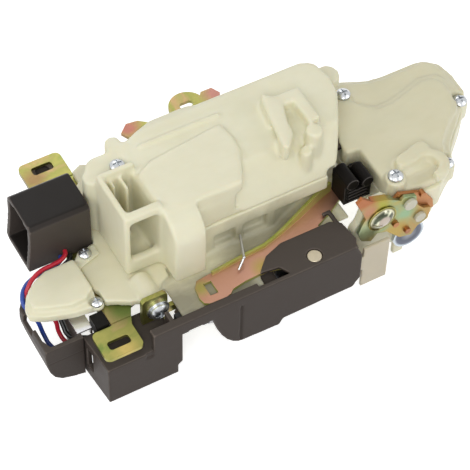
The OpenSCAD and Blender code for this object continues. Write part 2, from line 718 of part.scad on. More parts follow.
// Nylon lobe that covers the wires on the left
module wire_cover() {
  color(cream) placed() difference() {
    union() {
      prism([[-17.4, 31], [-17.2, 35.6], [-15.4, 38.6], [-14.2, 40.6], [-9.4, 44], [-4, 46.2], [9, 46.6],
        [12, 49.6], [17.6, 50.6], [19.8, 50.6], [19.8, 45], [9.6, 42], [9.2, 27], [11, 24.4], [9, 23],
        [2, 24], [-2, 24.6], [-12, 27.8]], tab_z + 0.2, 4);
      prism([[-15, 32], [-14.8, 36], [-13.6, 40.2], [-9, 43.6], [-4, 45.8], [8.6, 46], [9, 42], [9, 30],
        [5, 27], [-2, 26.6], [-11, 30]], tab_z + 4, 3);
      bar_z(14.2, 47.2, tab_z + 0.2, 3.4, 4.4);
      bar_z(8.4, 25.8, tab_z + 0.2, 3, 2.1);
    }
    prism([[-13.4, 32], [-12, 38], [-7, 41.8], [4, 43], [4, 30], [-8, 30]], tab_z - 1, 5.4);
    bar_z(14.2, 47.2, tab_z, 1.3, 20);
    bar_z(8.4, 25.8, tab_z, 1.2, 20);
    bar_z(8.4, 25.8, tab_z + 2.3, 3.2, 20);
    // seat over the edge of the tray
    block([9.7, 29, tab_z - 1], [30, 60, tab_z + 3.4]);
    block([11.2, 20, tab_z - 1], [30, 30, tab_z + 3.4]);
  }
}

// Dark plate with the nut below the back tab
module nut_plate() {
  x0 = slot_x + slot_pitch_x;
  color(black) placed() difference() {
    block([x0 - 8.4, slot_y + slot_pitch_y - 13, tab_z - plate_t - 2.6],
      [x0 + 7.6, slot_y + slot_pitch_y + 4.6, tab_z - plate_t - 0.02]);
    bar_z(x0, slot_y + slot_pitch_y, tab_z - plate_t - 1.4, 3, 5);
  }
}

// Connector shroud with its socket open to the left
module connector_housing() {
  x0 = plug_x;
  y0 = plug_y;
  z0 = plug_z;
  x1 = x0 + plug_length;
  y1 = y0 + plug_depth;
  z1 = z0 + plug_height;
  color(black) placed() difference() {
    union() {
      intersection() {
        translate([x0 - 3, 0, 0]) rotate([90, 0, 90]) linear_extrude(plug_length + 2)
          polygon([[y0, z0], [y1 - 2, z0], [y1, z0 + 2], [y1, z1 - 2], [y1 - 2, z1], [y0 + 1.6, z1],
            [y0, z1 - 1.8]]);
        prism_y([[x0, z1 + 1], [x0 - 0.3, z1 - 9], [x0 - 1, z0 + 9], [x0 - 1.8, z0 + 3], [x0 - 1.8, z0 - 1],
          [x1 + 1, z0 - 1], [x1 + 1, z1 + 1]], y0 - 1, plug_depth + 2);
      }
      translate([x0 + 3, 0, 0]) rotate([90, 0, 90]) linear_extrude(plug_length - 3.4)
        polygon([[y0 + 2, z0 + 0.4], [y1 - 2, z0 + 0.4], [y1 - 2, z1 - 3], [y0 + 4, z1 - 3]]);
      // foot on the bracket
      block([x1 - 12, y0 + 1, tab_z + 0.02], [x1 - 3.6, y1 - 1, z0 + 1]);
      // black nut holder below the back tab
      block([x0 + 14, y1 - 2, tab_z + 0.02], [x0 + 17, y1 + 8, z0 + 3]);
    }
    block([x0 - 4, y0 + 2.2, z0 + 2.2], [x1 - 8, y1 - 2.2, z1 - 2.4]);
    block([x0 - 4, y0 + 6, z1 - 3], [x0 + 7, y1 - 6, z1 - 1.4]);
    // clearance for the floor of the tray
    prism([[20.1, 40], [20.1, 62.2], [17.7, 66], [19.7, 74.2], [24.3, 79.3], [40, 90], [40, 40]], tab_z - 1,
      4.6);
  }
}

// Contact pins inside the connector
module connector_terminals() {
  color(copper_zinc) placed() for (i = [0 : 3], k = [0 : 1])
    block([plug_x + 8, plug_y + 5 + i * 3.2, plug_z + 7 + k * 9],
      [plug_x + plug_length - 8, plug_y + 5.8 + i * 3.2, plug_z + 8.6 + k * 9]);
}

// Points of a wire: tangent, ring and tube along a hand drawn route
function unit(v) = v / norm(v);
function tangent(p, i) = i == 0 ? unit(p[1] - p[0]) :
  i == len(p) - 1 ? unit(p[i] - p[i - 1]) : unit(p[i + 1] - p[i - 1]);
function ring(c, t, r, sides) = let (side = unit(cross(t, [0.3, 0.2, 1])), up = cross(side, t))
  [for (k = [0 : sides - 1]) c + r * (cos(k * 360 / sides) * side + sin(k * 360 / sides) * up)];

module tube(p, r, sides) {
  rings = [for (i = [0 : len(p) - 1]) each ring(p[i], tangent(p, i), r, sides)];
  sides_of = [for (i = [0 : len(p) - 2], k = [0 : sides - 1]) let (a = i * sides + k,
    b = i * sides + (k + 1) % sides) [a, b, b + sides, a + sides]];
  start = [[for (k = [0 : sides - 1]) sides - 1 - k]];
  end = [[for (k = [0 : sides - 1]) (len(p) - 1) * sides + k]];
  polyhedron(points = rings, faces = concat(start, sides_of, end));
}

blue_route = [[6, 52.3, 29], [5.6, 51, 29], [2.6, 49.2, 29], [-3, 48.7, 28.8], [-8, 48.2, 28.2],
  [-12.1, 46.5, 27.4], [-14.8, 43.2, 26.8], [-15.6, 40.4, 25.6], [-14.2, 37.2, 22.8], [-12.9, 34.6, 20],
  [-12.2, 31.6, 15], [-11.4, 27.4, 12], [-9, 24.4, 10.4], [-4.4, 23.4, 9.6], [0, 22, 9.2],
  [4, 19, 8.4], [8, 16.8, 6.9], [10.2, 15.6, 6.3], [10.3, 14.5, 6.25]];
red_route = [[8, 52.3, 31.4], [7.6, 51, 31.4], [5, 49, 31.4], [1, 48.3, 31.4], [-4, 48, 31.2],
  [-8.4, 46.6, 30.4], [-11.4, 44.7, 28.8], [-13, 43.2, 26.4], [-12, 40.6, 24.6], [-9.4, 36.6, 22.4],
  [-6.8, 32, 20], [-6.6, 29.4, 15], [-5.6, 26, 12.6], [-3.4, 24.3, 12], [0.6, 22.6, 11.8],
  [6, 19.6, 10.8], [12, 17, 8], [15.1, 15.8, 6.4], [15.2, 14.5, 6.25]];
black_route = [[10, 52.3, 28.3], [9.6, 51, 28.2], [6.4, 48.9, 27.9], [1, 48, 27], [-3.4, 46.4, 25.8],
  [-5.2, 43, 25.1], [-4.9, 38, 23.4], [-4.6, 33, 20], [-4.5, 29.6, 17], [-4.3, 27, 15.2],
  [-2.6, 25, 14.5], [1.4, 23, 14.2], [7, 20, 13.6], [14, 16.4, 11.4], [18.8, 14.6, 9.6], [20, 12.9, 9.2]];

module wire_blue() {
  color([0.15, 0.25, 0.6]) placed() tube(blue_route, wire_r, 8);
}

module wire_red() {
  color([0.8, 0.12, 0.15]) placed() tube(red_route, wire_r, 8);
}

module wire_black() {
  color([0.1, 0.1, 0.1]) placed() tube(black_route, wire_r, 8);
}

// Long release lever with its upstanding back flange
module release_lever() {
  color(zinc) placed() difference() {
    union() {
      prism([[43.8, 9], [44.4, 6], [46.4, 4.8], [53.4, 4.6], [55.6, 5.2], [57.4, 6.8], [63.4, 7.8],
        [73.4, 8.2], [84, 5.4], [88.8, 4], [95.8, 4], [99, 8], [100.6, 14], [102, 18],
        [clip_x - 6.9, 21.1], [clip_x + 0.8, 25.4], [clip_x + 7.2, 27], [clip_x + 9.2, 30],
        [clip_x + 6.2, 33.4], [clip_x - 2.8, 31.4], [clip_x - 6.2, 30.2],
        [97.6, 25.8], [88, 22.4], [78, 19.4], [69, 18.8], [50, 17], [46.6, 16.6], [44.6, 14]],
        lever_z, plate_t);
      bar_z(lever_pivot[0], lever_pivot[1], lever_z, 3.5, plate_t);
      // upstanding flange, low on the left and rising to the right
      difference() {
        prism([[53.4, 17.2], [69, 18.7], [78, 19.3], [88, 22.3], [97.6, 25.7],
          [clip_x - 6.2, 30.1], [clip_x - 1.2, 31.7], [clip_x - 0.6, 30.6], [clip_x - 5.6, 29],
          [98.2, 24.6], [88.4, 21.2], [78.2, 18.2],
          [69, 17.6], [53.4, 16.1]], lever_z + 0.2, 6.4);
        prism_y([[40, lever_z + 3.2], [84, lever_z + 3.2], [106.4, lever_z + 6.8], [40, lever_z + 10]], 10, 30);
      }
    }
    block([48.2, 8, 0], [51.6, 14.2, 60]);
    bar_z(lever_pivot[0], lever_pivot[1], 0, 2 + running_gap, 60);
  }
}

// Pin of the release lever, standing on the latch cover floor
module release_pin() {
  color([0.8, 0.74, 0.6]) placed() {
    bar_z(lever_pivot[0], lever_pivot[1], 14.2, 2, cover_height - 14.4);
  }
}

// Wire spring that returns the release lever
module release_spring() {
  color(bright) placed() {
    translate([70.8, 25.6, shelf_z + 5.6]) rotate([0, 0, -21]) rotate([90, 0, 0])
      cylinder(r = 0.5, h = 11, $fn = 32);
    translate([66.86, 15.33, shelf_z + 5.6]) sphere(r = 0.66, $fn = 32);
    translate([66.86, 15.33, shelf_z + 5.6]) rotate([0, 0, -57]) rotate([124, 0, 0])
      cylinder(r = 0.5, h = 5.2, $fn = 32);
  }
}

// Black snap clip for the pull rod at the end of the release lever
module rod_clip() {
  x = clip_x;
  y = 21.6;
  z = lever_top;
  color(black) placed() difference() {
    union() {
      prism([[x, y], [x + 12.4, y], [x + 12.4, y + 11.6], [x + 1.4, y + 11.6], [x, y + 9.4]], z, 8.6);
      prism([[x, y], [x + 5.4, y], [x + 5.4, y + 10], [x, y + 10]], z + 8, 5);
      prism([[x + 7.2, y], [x + 12.4, y], [x + 12.4, y + 9], [x + 7.2, y + 9]], z + 7, 4);
      bar_y(x + 2.8, y - 1.4, z + 12.4, 2.7, 10.6);
      bar_y(x + 9.8, y - 1.4, z + 10.6, 2.6, 9.6);
    }
    bar_y(x + 6.2, y - 2, z + 8.4, rod_r, 20);
    for (i = [0 : 3])
      block([x + 1.4, y - 1, z + 0.9 + i * 1.9], [x + 11, y + 2.6, z + 1.9 + i * 1.9]);
  }
}

// Plan outline of the lever housing, grown by the given amount
function lever_plan(g) = [
  [118.6 - g, 16], [121, 10 - g], [153.6 + g, 10 - g], [160 + g, 15], [165.4 + g, 18.6],
  [167.6 + g, 23.5], [173.4 + g, 29.4], [180.6 + g, 36], [189 + g, 45], [189.4 + g, 55],
  [188 + g, 63], [183.6 + g, 67], [178, 69.6 + g], [162.4, 69.6 + g], [154.7, 70.6 + g],
  [143, 76 + g], [housing_stop + 19, 76 + g], [housing_stop + 13, 73 + g],
  [housing_stop + 11.1, housing_back - 13], [housing_stop + 9.5, housing_y + 24],
  [housing_stop + 5, housing_y + 15], [housing_stop + 5, 30], [housing_stop + 8.6, 20]];

// Lower part of the housing for the key and handle levers
module lever_housing() {
  color(cream) placed() lever_side() difference() {
    union() {
      difference() {
        prism(lever_plan(0), lever_lo, lever_base_height);
        // pocket for the lock lever
        prism([[134, 20], [147, 13], [154, 13.6], [162, 22], [170, 32], [180, 44], [180, 60], [140, 66],
          [housing_stop + 14, 56], [housing_stop + 12, 36]], lever_lo + 2, lever_base_height);
      }
      bar_z(183.4, 42, lever_mid - 5, 3.4, 8);
      bar_z(161.4, 17.2, lever_mid - 6, 3.2, 8);
      // front wall that carries the key lever and the round cap
      prism_y([[cover_stop + 1, 12], [cover_stop + 3, 8], [132, 8], [136, 5], [143, 6], [146, 10.8],
        [148, 12.9], [151.3, 17], [152.1, 20.2], [153.5, 22.9], [154.6, 27.2], [154, lever_mid],
        [130, lever_mid], [130, 37], [127, 40], [121, 40], [117.6, 37], [116, 30], [cover_stop + 1, 26]],
        10, 4);
      block([134.4, 10.2, -1.2], [139.6, 12.4, 8]);
    }
    bar_y(key_at[0], 0, key_at[1], 3, 17);
    bar_y(140, 0, 11, 2, 13);
    bar_z(183.4, 42, lever_mid - 4, 1.5, 20);
    bar_z(161.4, 17.2, lever_mid - 3, 1.4, 20);
    bar_z(lock_pivot[0] - lever_shift, lock_pivot[1], lever_lo + 0.8, 2, 8);
    // room for the clip of the release lever
    prism([[100, 14.2], [130.6, 14.2], [130.6, 36], [100, 36]], lever_z - 0.5, 30);
  }
}

// Outline of the raised middle of the lid, moved out by g at the back and on the right
function lid_top(g) = [
  [131.6, 17], [133, 15], [155, 15], [160.4, 18.6], [162.6, 23.5], [168.4, 29.4], [175 + g, 36],
  [179.6 + g, 43], [180 + g, 50 + g], [177.6 + g, 54 + g], [173, 55.4 + g], [164, 52.8 + g],
  [156, 50.6 + g], [149, 50.6 + g], [143.6, 55.4 + g], [140, 61.6 + g], [housing_stop + 11.3, 61.6 + g],
  [housing_stop + 9.5, housing_y + 24], [housing_stop + 5, housing_y + 15], [housing_stop + 5, 30],
  [housing_stop + 8.6, 20]];

// Lid of the lever housing with its stepped edge, hook and boss
module lever_lid() {
  color(cream) placed() lever_side() difference() {
    union() {
      prism(lever_plan(-1.2), lever_mid, lever_lid_height * 0.5);
      prism(lever_plan(-4), lever_mid, lever_lid_height * 0.68);
      prism(lid_top(2.8), lever_mid, lever_lid_height * 0.85);
      prism(lid_top(0), lever_mid, lever_lid_height);
      bar_z(139.8, 63.2, lever_mid, 3.8, lever_lid_height);
      // boss under the domed screw
      bar_z(134.6, 15, lever_mid, 4.4, lever_lid_height + 2.4);
      // oblong boss and open hook
      translate([0, 0, lever_hi - 1]) linear_extrude(5) {
        translate([146.4, 21.4]) rotate([0, 0, 14]) slot_outline(17, 6.4);
        difference() {
          translate([150.6, 13.8]) circle(r = 7.4);
          translate([149, 14]) circle(r = 4.2);
          translate([140, 5.4]) square([8.4, 12]);
        }
      }
    }
    // clearance around the screw bosses
    bar_z(183.4, 42, lever_mid - 1, 3.6, 30);
    bar_z(161.4, 17.2, lever_mid - 1, 3.4, 8);
    bar_z(139.8, 63.2, lever_mid + 3, 1.5, 20);
    bar_z(134.6, 15, lever_mid + 5, 1.5, 20);
    // passage of the slider arm
    block([housing_stop - 2, peg_y - 2.5, lever_mid - 1], [drawn_end + 40, peg_y + 2.5, tab_z + 13.6]);
    block([100, 9, lever_mid - 1], [130.2, 14.3, 60]);
    // room for the clip of the release lever
    prism([[100, 14.2], [130.6, 14.2], [130.6, 36], [100, 36]], lever_mid - 2, 30);
  }
}

// Lever inside the housing that the slider turns
module lock_lever() {
  z = lever_lo + 2.6;
  color(zinc) placed() translate([lock_pivot[0], lock_pivot[1], z]) difference() {
    union() {
      cylinder(r = 5, h = plate_t + 1);
      prism([[-4, 0], [-3.4, 16.2], [-2, 17.6], [2, 17.6], [3.4, 16.2], [4, 0]], 0, plate_t + 1);
      prism([[0, -4], [9, -2.6], [10, 0], [9, 2.6], [0, 4]], 0, plate_t + 1);
    }
    translate([0, 0, -1]) cylinder(r = 2 + running_gap, h = 10);
    translate([0, 12.9, -1]) rotate([0, 0, 90]) linear_extrude(10) slot_outline(5.2, 3);
  }
}

// Pin of the lock lever
module lock_lever_pin() {
  color(bright) placed() bar_z(lock_pivot[0], lock_pivot[1], lever_lo + 1, 2, lever_mid - lever_lo - 1.3);
}

// Key lever plate with its round hub
module key_lever() {
  color(zinc) placed() lever_side() difference() {
    union() {
      bar_y(key_at[0], key_y, key_at[1], 8.4, plate_t);
      prism_y([[111.4, 48.5], [113.7, 50.8], [118.4, 46.3], [126.1, 43.2], [132.5, 38.8], [134.1, 40.2],
        [139.5, 37.9], [140.9, 31.3], [144.1, 27.5], [147.6, 26], [146.8, 19.4], [142.2, 17.3],
        [139.5, 13.2], [134, 14.7], [127.2, 22.5], [122.7, 24], [120, 20.6], [115.4, 23.4],
        [113.5, 28.8], [115, 33.8], [116.4, 36.5], [114.3, 41.8]], key_y, plate_t);
      // bent edge along the top
      prism_y([[118.6, 46.2], [126.1, 43.2], [129, 41.2], [129, 40], [118.6, 45]], key_y, 3.2);
    }
    bar_y(key_at[0], 0, key_at[1], 3 + running_gap, 30);
    bar_y(136.8, 0, 34.8, 2.8, 30);
    bar_y(142.4, 0, 23.6, 2.4, 30);
    bar_y(130.6, 0, 26, 1.4, 30);
    bar_y(137, 0, 18, 1.4, 30);
  }
}

// Chrome rivet through the key lever
module key_rivet() {
  color(bright) placed() lever_side() {
    bar_y(key_at[0], key_y - 1, key_at[1], 3, 9);
    bar_y(key_at[0], key_y - 0.6, key_at[1], 6.4, 0.4);
    translate([key_at[0], key_y - 0.2, key_at[1]]) rotate([90, 0, 0]) intersection() {
      translate([0, 0, -4.6]) sphere(r = 7);
      cylinder(r = 5.4, h = 4);
    }
  }
}

// Copper link behind the key lever
module key_link() {
  color(copper_zinc) placed() lever_side() difference() {
    union() {
      prism_y([[129, 37], [132.2, 41.2], [141.7, 37], [145.4, 34], [149.4, 28.2], [150.2, 23],
        [146.6, 22.6], [142.7, 27.6], [140, 32], [130, 33], [126, 33], [126, 37]],
        key_y + plate_t + 0.2, plate_t);
      bar_y(key_at[0], key_y + plate_t + 0.2, key_at[1], 6, plate_t);
    }
    bar_y(key_at[0], 0, key_at[1], 3 + running_gap, 30);
    bar_y(143.6, 0, 35, 1.4, 30);
  }
}

// Small rivets and studs of the key lever
module link_rivets() {
  color(copper_zinc) placed() lever_side() {
    bar_y(130.6, key_y - 1.4, 26, 1.4, 2.9);
    bar_y(137, key_y - 1.2, 18, 1.4, 2.7);
    bar_y(143.6, key_y + 0.6, 35, 1.4, 2.6);
  }
}

// White nylon bushings in the key lever
module key_bushings() {
  color(cream) placed() lever_side() {
    bar_y(136.8, key_y - 1.2, 34.8, 2.8, 2.7);
    bar_y(142.4, key_y - 1.2, 23.6, 2.4, 2.7);
  }
}

// Handle lever at the back edge
module outer_lever() {
  z = tab_z - plate_t - 0.3;
  color(zinc) placed() difference() {
    union() {
      bar_z(outer_pivot[0], outer_pivot[1], z, 7, plate_t);
      bar_z(87.4, 99.6, z, 8, plate_t);
      prism([[78, 66], [79.6, 101], [95.2, 99], [90, 66]], z, plate_t);
      prism([[81, 78.4], [60, 92], [56.4, 99.4], [60.4, 103], [65.4, 102.4], [72, 97], [82, 90]], z, plate_t);
      prism([[88, 84], [92, 99], [96, 104], [101, 104], [103, 100], [98, 90]], z, plate_t);
    }
    bar_z(outer_pivot[0], outer_pivot[1], 0, 2.5 + running_gap, 60);
    translate([87.4, 100.6, 0]) linear_extrude(60) slot_outline(6, 3);
  }
}

// Pin of the handle lever
module outer_lever_pin() {
  color(bright) placed() {
    bar_z(outer_pivot[0], outer_pivot[1], tab_z - plate_t - 1.4, 4, 0.9);
    bar_z(outer_pivot[0], outer_pivot[1], tab_z - plate_t - 0.6, 2.5, plate_t + 0.6);
    bar_z(outer_pivot[0], outer_pivot[1], tab_z - 0.2, 3.6, 0.2);
  }
}

// Bright steel strip beside the wires
module contact_strip() {
  color(bright) placed() {
    block([-3.3, 19.1, 24.02], [3, 29, 24.8]);
    block([2.2, 19.1, box_height - 0.5], [3, 29, 24.1]);
  }
}

// Small terminal block beside the channel
module terminal_block() {
  color(black) placed() {
    block([3.4, 15.8, box_height + 0.02], [8.9, 22.6, tab_z + 1]);
  }
}

// Round drive disc behind the key lever
module drive_disc() {
  color(bright) placed() lever_side() {
    bar_y(140, 8.4, 11, 7.2, 1.5);
    bar_y(140, 9.8, 11, 2, 3);
  }
}

// Flat guide tab at the right end of the latch cover
module guide_tab() {
  color([0.82, 0.78, 0.68]) placed() {
    block([cover_length + 1.6, 1.2, 1], [cover_length + 13.4, 2.8, 25]);
    block([cover_length + 0.02, 1.2, 12], [cover_length + 2, 2.8, 20]);
    block([cover_length + 3, 2.6, 8.4], [cover_length + 6, 9.98, 11.6]);
  }
}

latch_cover();
wire_channel();
latch_plate();
fork();
fork_sleeve();
fork_pin();
fork_spring();
pawl();
pawl_pin();
pawl_spring();
mouth_buffer();
door_switch();
carrier_bracket();
flange_screw();
actuator_base();
actuator_shell();
housing_screws();
motor_can();
motor_worm();
worm_wheel();
wheel_axle();
lock_slider();
position_switches();
lead_frame();
wire_cover();
connector_housing();
connector_terminals();
nut_plate();
wire_blue();
wire_red();
wire_black();
release_lever();
release_pin();
release_spring();
rod_clip();
lever_housing();
lever_lid();
lock_lever();
lock_lever_pin();
key_lever();
key_rivet();
key_link();
link_rivets();
key_bushings();
outer_lever();
outer_lever_pin();
guide_tab();
contact_strip();
terminal_block();
drive_disc();
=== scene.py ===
# %% [markdown]
# # A vehicle door lock, dressed for its picture
# The solids of the lock come packed from the construction step, one object for each real
# piece, already in place and in metres. This lesson gives each of them the finish that the
# real piece has, adds the small forms that are too fine for the solids, and sets up the
# floor, the lights and the camera. +X runs along the lock, +Y back from its latch face and
# +Z out of the actuator side; the origin lies on the front tab, behind its fixing slot.

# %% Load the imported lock
import json
import math
import bmesh
import bpy
from mathutils import Matrix, Vector


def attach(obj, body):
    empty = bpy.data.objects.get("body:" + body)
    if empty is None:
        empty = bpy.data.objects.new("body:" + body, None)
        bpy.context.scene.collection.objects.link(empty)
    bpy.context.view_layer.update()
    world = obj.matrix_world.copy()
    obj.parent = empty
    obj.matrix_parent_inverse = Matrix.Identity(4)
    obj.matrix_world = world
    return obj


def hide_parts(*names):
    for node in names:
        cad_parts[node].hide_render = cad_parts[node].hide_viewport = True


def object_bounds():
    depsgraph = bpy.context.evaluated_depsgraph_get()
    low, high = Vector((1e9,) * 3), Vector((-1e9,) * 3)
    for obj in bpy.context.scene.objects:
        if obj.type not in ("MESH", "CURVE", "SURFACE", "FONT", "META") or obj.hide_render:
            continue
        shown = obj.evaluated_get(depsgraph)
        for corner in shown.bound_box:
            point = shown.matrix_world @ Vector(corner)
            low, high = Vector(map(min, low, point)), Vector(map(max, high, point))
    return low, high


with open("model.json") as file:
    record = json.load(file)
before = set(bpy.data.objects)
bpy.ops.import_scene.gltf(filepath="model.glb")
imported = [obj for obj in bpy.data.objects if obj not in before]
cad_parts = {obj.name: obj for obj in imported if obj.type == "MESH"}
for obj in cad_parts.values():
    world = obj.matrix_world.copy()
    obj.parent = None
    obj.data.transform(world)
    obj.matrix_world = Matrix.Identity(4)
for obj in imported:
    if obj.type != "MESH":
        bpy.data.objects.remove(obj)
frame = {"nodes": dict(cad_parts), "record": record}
nodes = frame["nodes"]
cad_box = [list(corner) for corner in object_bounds()]
MM = 0.001
# The drawing of the lock counts from the front left corner of the black cover.
CORNER = Vector((8.3, 12.2, 26.5))
print(len(nodes), "solids, box in metres", cad_box)

# %% [markdown]
# ## From the drawing to the frame
# Sizes are easiest to read in millimetres from the corner of the cover, as in the drawing.
# One helper turns such a point into the frame's metres, so that every later cell can give
# its places in the drawing's own numbers.

# %% Points of the drawing
def at(x, y, z):
    """A point of the drawing in millimetres, as a vector of the frame in metres."""
    return (Vector((x, y, z)) - CORNER) * MM


print("the seat on the front tab lies at", at(8.3, 12.2, 26.5))

# %% [markdown]
# ## Writing shaders as sums
# A finish such as passivated zinc is a pattern worked out from position: noise, stretched
# noise and ramps, added and multiplied. Clicking that together hides the idea, so one small
# class wraps a socket and lets Python's + - * add the Math nodes. Every other node comes
# from one method that takes its type, its settings and its inputs. A ramp's stops are
# settings too: pairs of a place from 0 to 1 and a colour.

# %% A socket that can be added and multiplied
class Wave:
    """A socket of a material, with arithmetic that adds Math nodes."""

    def __init__(self, tree, socket):
        self.tree = tree
        self.socket = socket

    def node(self, kind, settings=None, inputs=None, out=0):
        """A new node; inputs are values or other waves, out names the socket to go on from."""
        made = self.tree.nodes.new(kind)
        for name, value in (settings or {}).items():
            if name == "stops":
                ramp = made.color_ramp
                while len(ramp.elements) < len(value):
                    ramp.elements.new(0.5)
                for element, (place, colour) in zip(ramp.elements, value):
                    element.position = place
                    element.color = (*colour, 1.0)
            else:
                setattr(made, name, value)
        for name, value in (inputs or {}).items():
            target = made.inputs[name]
            if isinstance(value, Wave):
                self.tree.links.new(value.socket, target)
            else:
                target.default_value = value
        return Wave(self.tree, made.outputs[out])

    def math(self, operation, other, swap=False, clamp=False):
        pair = (other, self) if swap else (self, other)
        return self.node("ShaderNodeMath", {"operation": operation, "use_clamp": clamp},
                         {0: pair[0], 1: pair[1]})

    def __add__(self, other):
        return self.math("ADD", other)

    def __radd__(self, other):
        return self.math("ADD", other, swap=True)

    def __sub__(self, other):
        return self.math("SUBTRACT", other)

    def __rsub__(self, other):
        return self.math("SUBTRACT", other, swap=True)

    def __mul__(self, other):
        return self.math("MULTIPLY", other)

    def __rmul__(self, other):
        return self.math("MULTIPLY", other, swap=True)

    def clamped(self):
        """The same value, held between 0 and 1."""
        return self.math("ADD", 0.0, clamp=True)

    def ramp(self, *stops):
        return self.node("ShaderNodeValToRGB", {"stops": stops}, {0: self})

    def noise(self, scale, detail=3.0, rough=0.5, out=0):
        return self.node("ShaderNodeTexNoise", None,
                         {"Vector": self, "Scale": scale, "Detail": detail, "Roughness": rough}, out)

    def stretched(self, scale):
        return self.node("ShaderNodeMapping", None, {"Vector": self, "Scale": scale})

    def mixed(self, first, second):
        """A colour between two others, with this socket as the share of the second."""
        pair = [value if isinstance(value, Wave) else (*value, 1.0) for value in (first, second)]
        return self.node("ShaderNodeMix", {"data_type": "RGBA"}, {0: self, 6: pair[0], 7: pair[1]}, 2)


print("shader arithmetic is ready")

# %% [markdown]
# ## A finish and its surface
# Every finish starts from the same surface shader. The plain numbers of a finish sit on its
# own sockets. What varies over the piece, such as colour, roughness and small bumps, is
# linked. The pattern reads Object coordinates, which are metres here, because every piece
# sits at the origin with its place in its mesh.
# Moulded and pressed pieces have no perfectly sharp edge, and a highlight runs along it.
# The Bevel node bends the shading normal near an edge by a given radius, so the solids get
# that soft edge without another face.

# %% Start a finish
def finish(name, metallic=0.0):
    """A new material: the material, its object coordinates and its surface shader."""
    material = bpy.data.materials.new(name)
    material.use_nodes = True
    tree = material.node_tree
    tree.nodes.clear()
    end = tree.nodes.new("ShaderNodeOutputMaterial")
    shader = tree.nodes.new("ShaderNodeBsdfPrincipled")
    tree.links.new(shader.outputs[0], end.inputs[0])
    shader.inputs["Metallic"].default_value = metallic
    place = tree.nodes.new("ShaderNodeTexCoord")
    return material, Wave(tree, place.outputs["Object"]), shader


def settle(material, shader, colour, roughness, bump, height, edge):
    """Links what varies: colour, roughness and bumps of a height, over edges of a radius in mm."""
    soft = bump.node("ShaderNodeBevel", {"samples": 6}, {"Radius": edge * MM})
    normal = bump.node("ShaderNodeBump", None,
                       {"Height": bump, "Distance": height * MM, "Strength": 1.0, "Normal": soft})
    for socket, wave in (("Base Color", colour), ("Roughness", roughness), ("Normal", normal)):
        material.node_tree.links.new(wave.socket, shader.inputs[socket])
    return material


print("the base of every finish is ready")

# %% [markdown]
# ## Cream nylon
# The housings are moulded from natural nylon: a warm cream with a soft sheen, slightly
# translucent, a little darker and yellower in patches where the wall is thick. Two scales of
# noise carry the patches, a fine one the faint grain of the mould. Translucency lights the
# corners, so a touch of subsurface is set as a plain number.
# Under the shell's overhang and in its own recesses the tray gets darker pools, painted shade.
# One helper gives a pool of another tone round a point, and the zinc below uses it as well.

# %% A pool and the nylon
PER_METRE = 1000.0


def pool(place, centre, radius, wobble):
    """A share that is 1 round a point of the drawing and a half near the radius in mm."""
    gap = place.node("ShaderNodeVectorMath", {"operation": "DISTANCE"}, {0: place, 1: at(*centre)}, "Value")
    # Full within a third of the radius, gone a third beyond it, with a wobbling shore.
    return (1.35 - gap * (PER_METRE / radius) + wobble * 0.7).clamped()


def nylon(name, base, deep, rough=0.42, pools=()):
    """Moulded nylon between two tones, with pools of (centre, radius in mm, tone)."""
    material, place, shader = finish(name)
    patches = place.noise(38.0, 3.0, 0.55)
    flow = place.stretched((1.0, 2.2, 0.7)).noise(120.0, 4.0, 0.6)
    grain = place.noise(2600.0, 2.0, 0.5)
    share = (patches * 0.9 + flow * 0.5 - 0.28).clamped()
    colour = share.mixed(base, deep)
    # A pool of another tone round a point; the tray's pools are painted shade.
    for centre, radius, tint in pools:
        colour = pool(place, centre, radius, flow - 0.5).mixed(colour, tint)
    shader.inputs["Subsurface Weight"].default_value = 0.25
    shader.inputs["Subsurface Radius"].default_value = (0.003, 0.0022, 0.0013)
    shader.inputs["Subsurface Scale"].default_value = 1.0
    bump = patches * 0.8 + grain * 0.06 + flow * 0.25
    return settle(material, shader, colour, flow * 0.16 + (rough - 0.08), bump, 0.22, 0.55)


print("a pool and the nylon can be mixed")

# %% [markdown]
# ## The nylons of this lock
# The shell is the palest, the lid is a shade deeper, and the bushings are worn grey. The tray
# lies over the latch and gets dark pools of painted shade, at places read from the drawing. The
# guide tab is a beige plastic of its own.

# %% Cream, white and beige
cream_nylon = nylon("cream nylon", (0.82, 0.795, 0.615), (0.71, 0.675, 0.47))
# Painted shade: the tray's dark pools under the shell's overhang and in its recesses.
tray_nylon_painted_shade = nylon("tray nylon with painted shade", (0.80, 0.77, 0.59), (0.70, 0.665, 0.46), pools=(
    ((72, 26, 28), 12.0, (0.37, 0.35, 0.245)), ((90, 25, 28), 12.0, (0.36, 0.34, 0.235)),
    ((38, 11, 27.4), 10.0, (0.33, 0.31, 0.225)), ((51, 11, 27.4), 8.0, (0.34, 0.315, 0.235)),
    ((62, 8, 27.4), 9.0, (0.27, 0.255, 0.185))))
lid_nylon = nylon("lid nylon", (0.735, 0.70, 0.51), (0.635, 0.595, 0.40))
worn_nylon = nylon("bushing nylon", (0.60, 0.57, 0.46), (0.50, 0.47, 0.37))
white_nylon = nylon("white nylon", (0.86, 0.86, 0.81), (0.76, 0.76, 0.70), 0.34)
beige_plastic = nylon("beige plastic", (0.57, 0.51, 0.39), (0.49, 0.43, 0.31))
print("nylon finishes:", cream_nylon.name, white_nylon.name, beige_plastic.name)

# %% [markdown]
# ## Dark plastic
# The latch cover, the channel and the connector are glass filled nylon: nearly black with a
# warm cast and a fine spark eroded grain. The grain is a fine noise in the bump, and a slower
# noise moves the roughness, so the broad faces show soft cloudy highlights as moulded parts do.
# Faces that look up may take a tone of their own, which is painted light: lighter for a painted
# sheen, darker for painted shade. Rounded edges get a painted highlight, a lighter colour: the
# Geometry node's Pointiness is above a half where a dense mesh bends outwards, which finds them.

# %% Tops with painted light and painted edge highlights
def facing_up(place):
    """A share that is 1 on faces that look up and 0 on walls."""
    normal = place.node("ShaderNodeTexCoord", None, None, "Normal")
    height = normal.node("ShaderNodeSeparateXYZ", None, {0: normal}, "Z")
    return (height * 2.4 - 0.9).clamped()


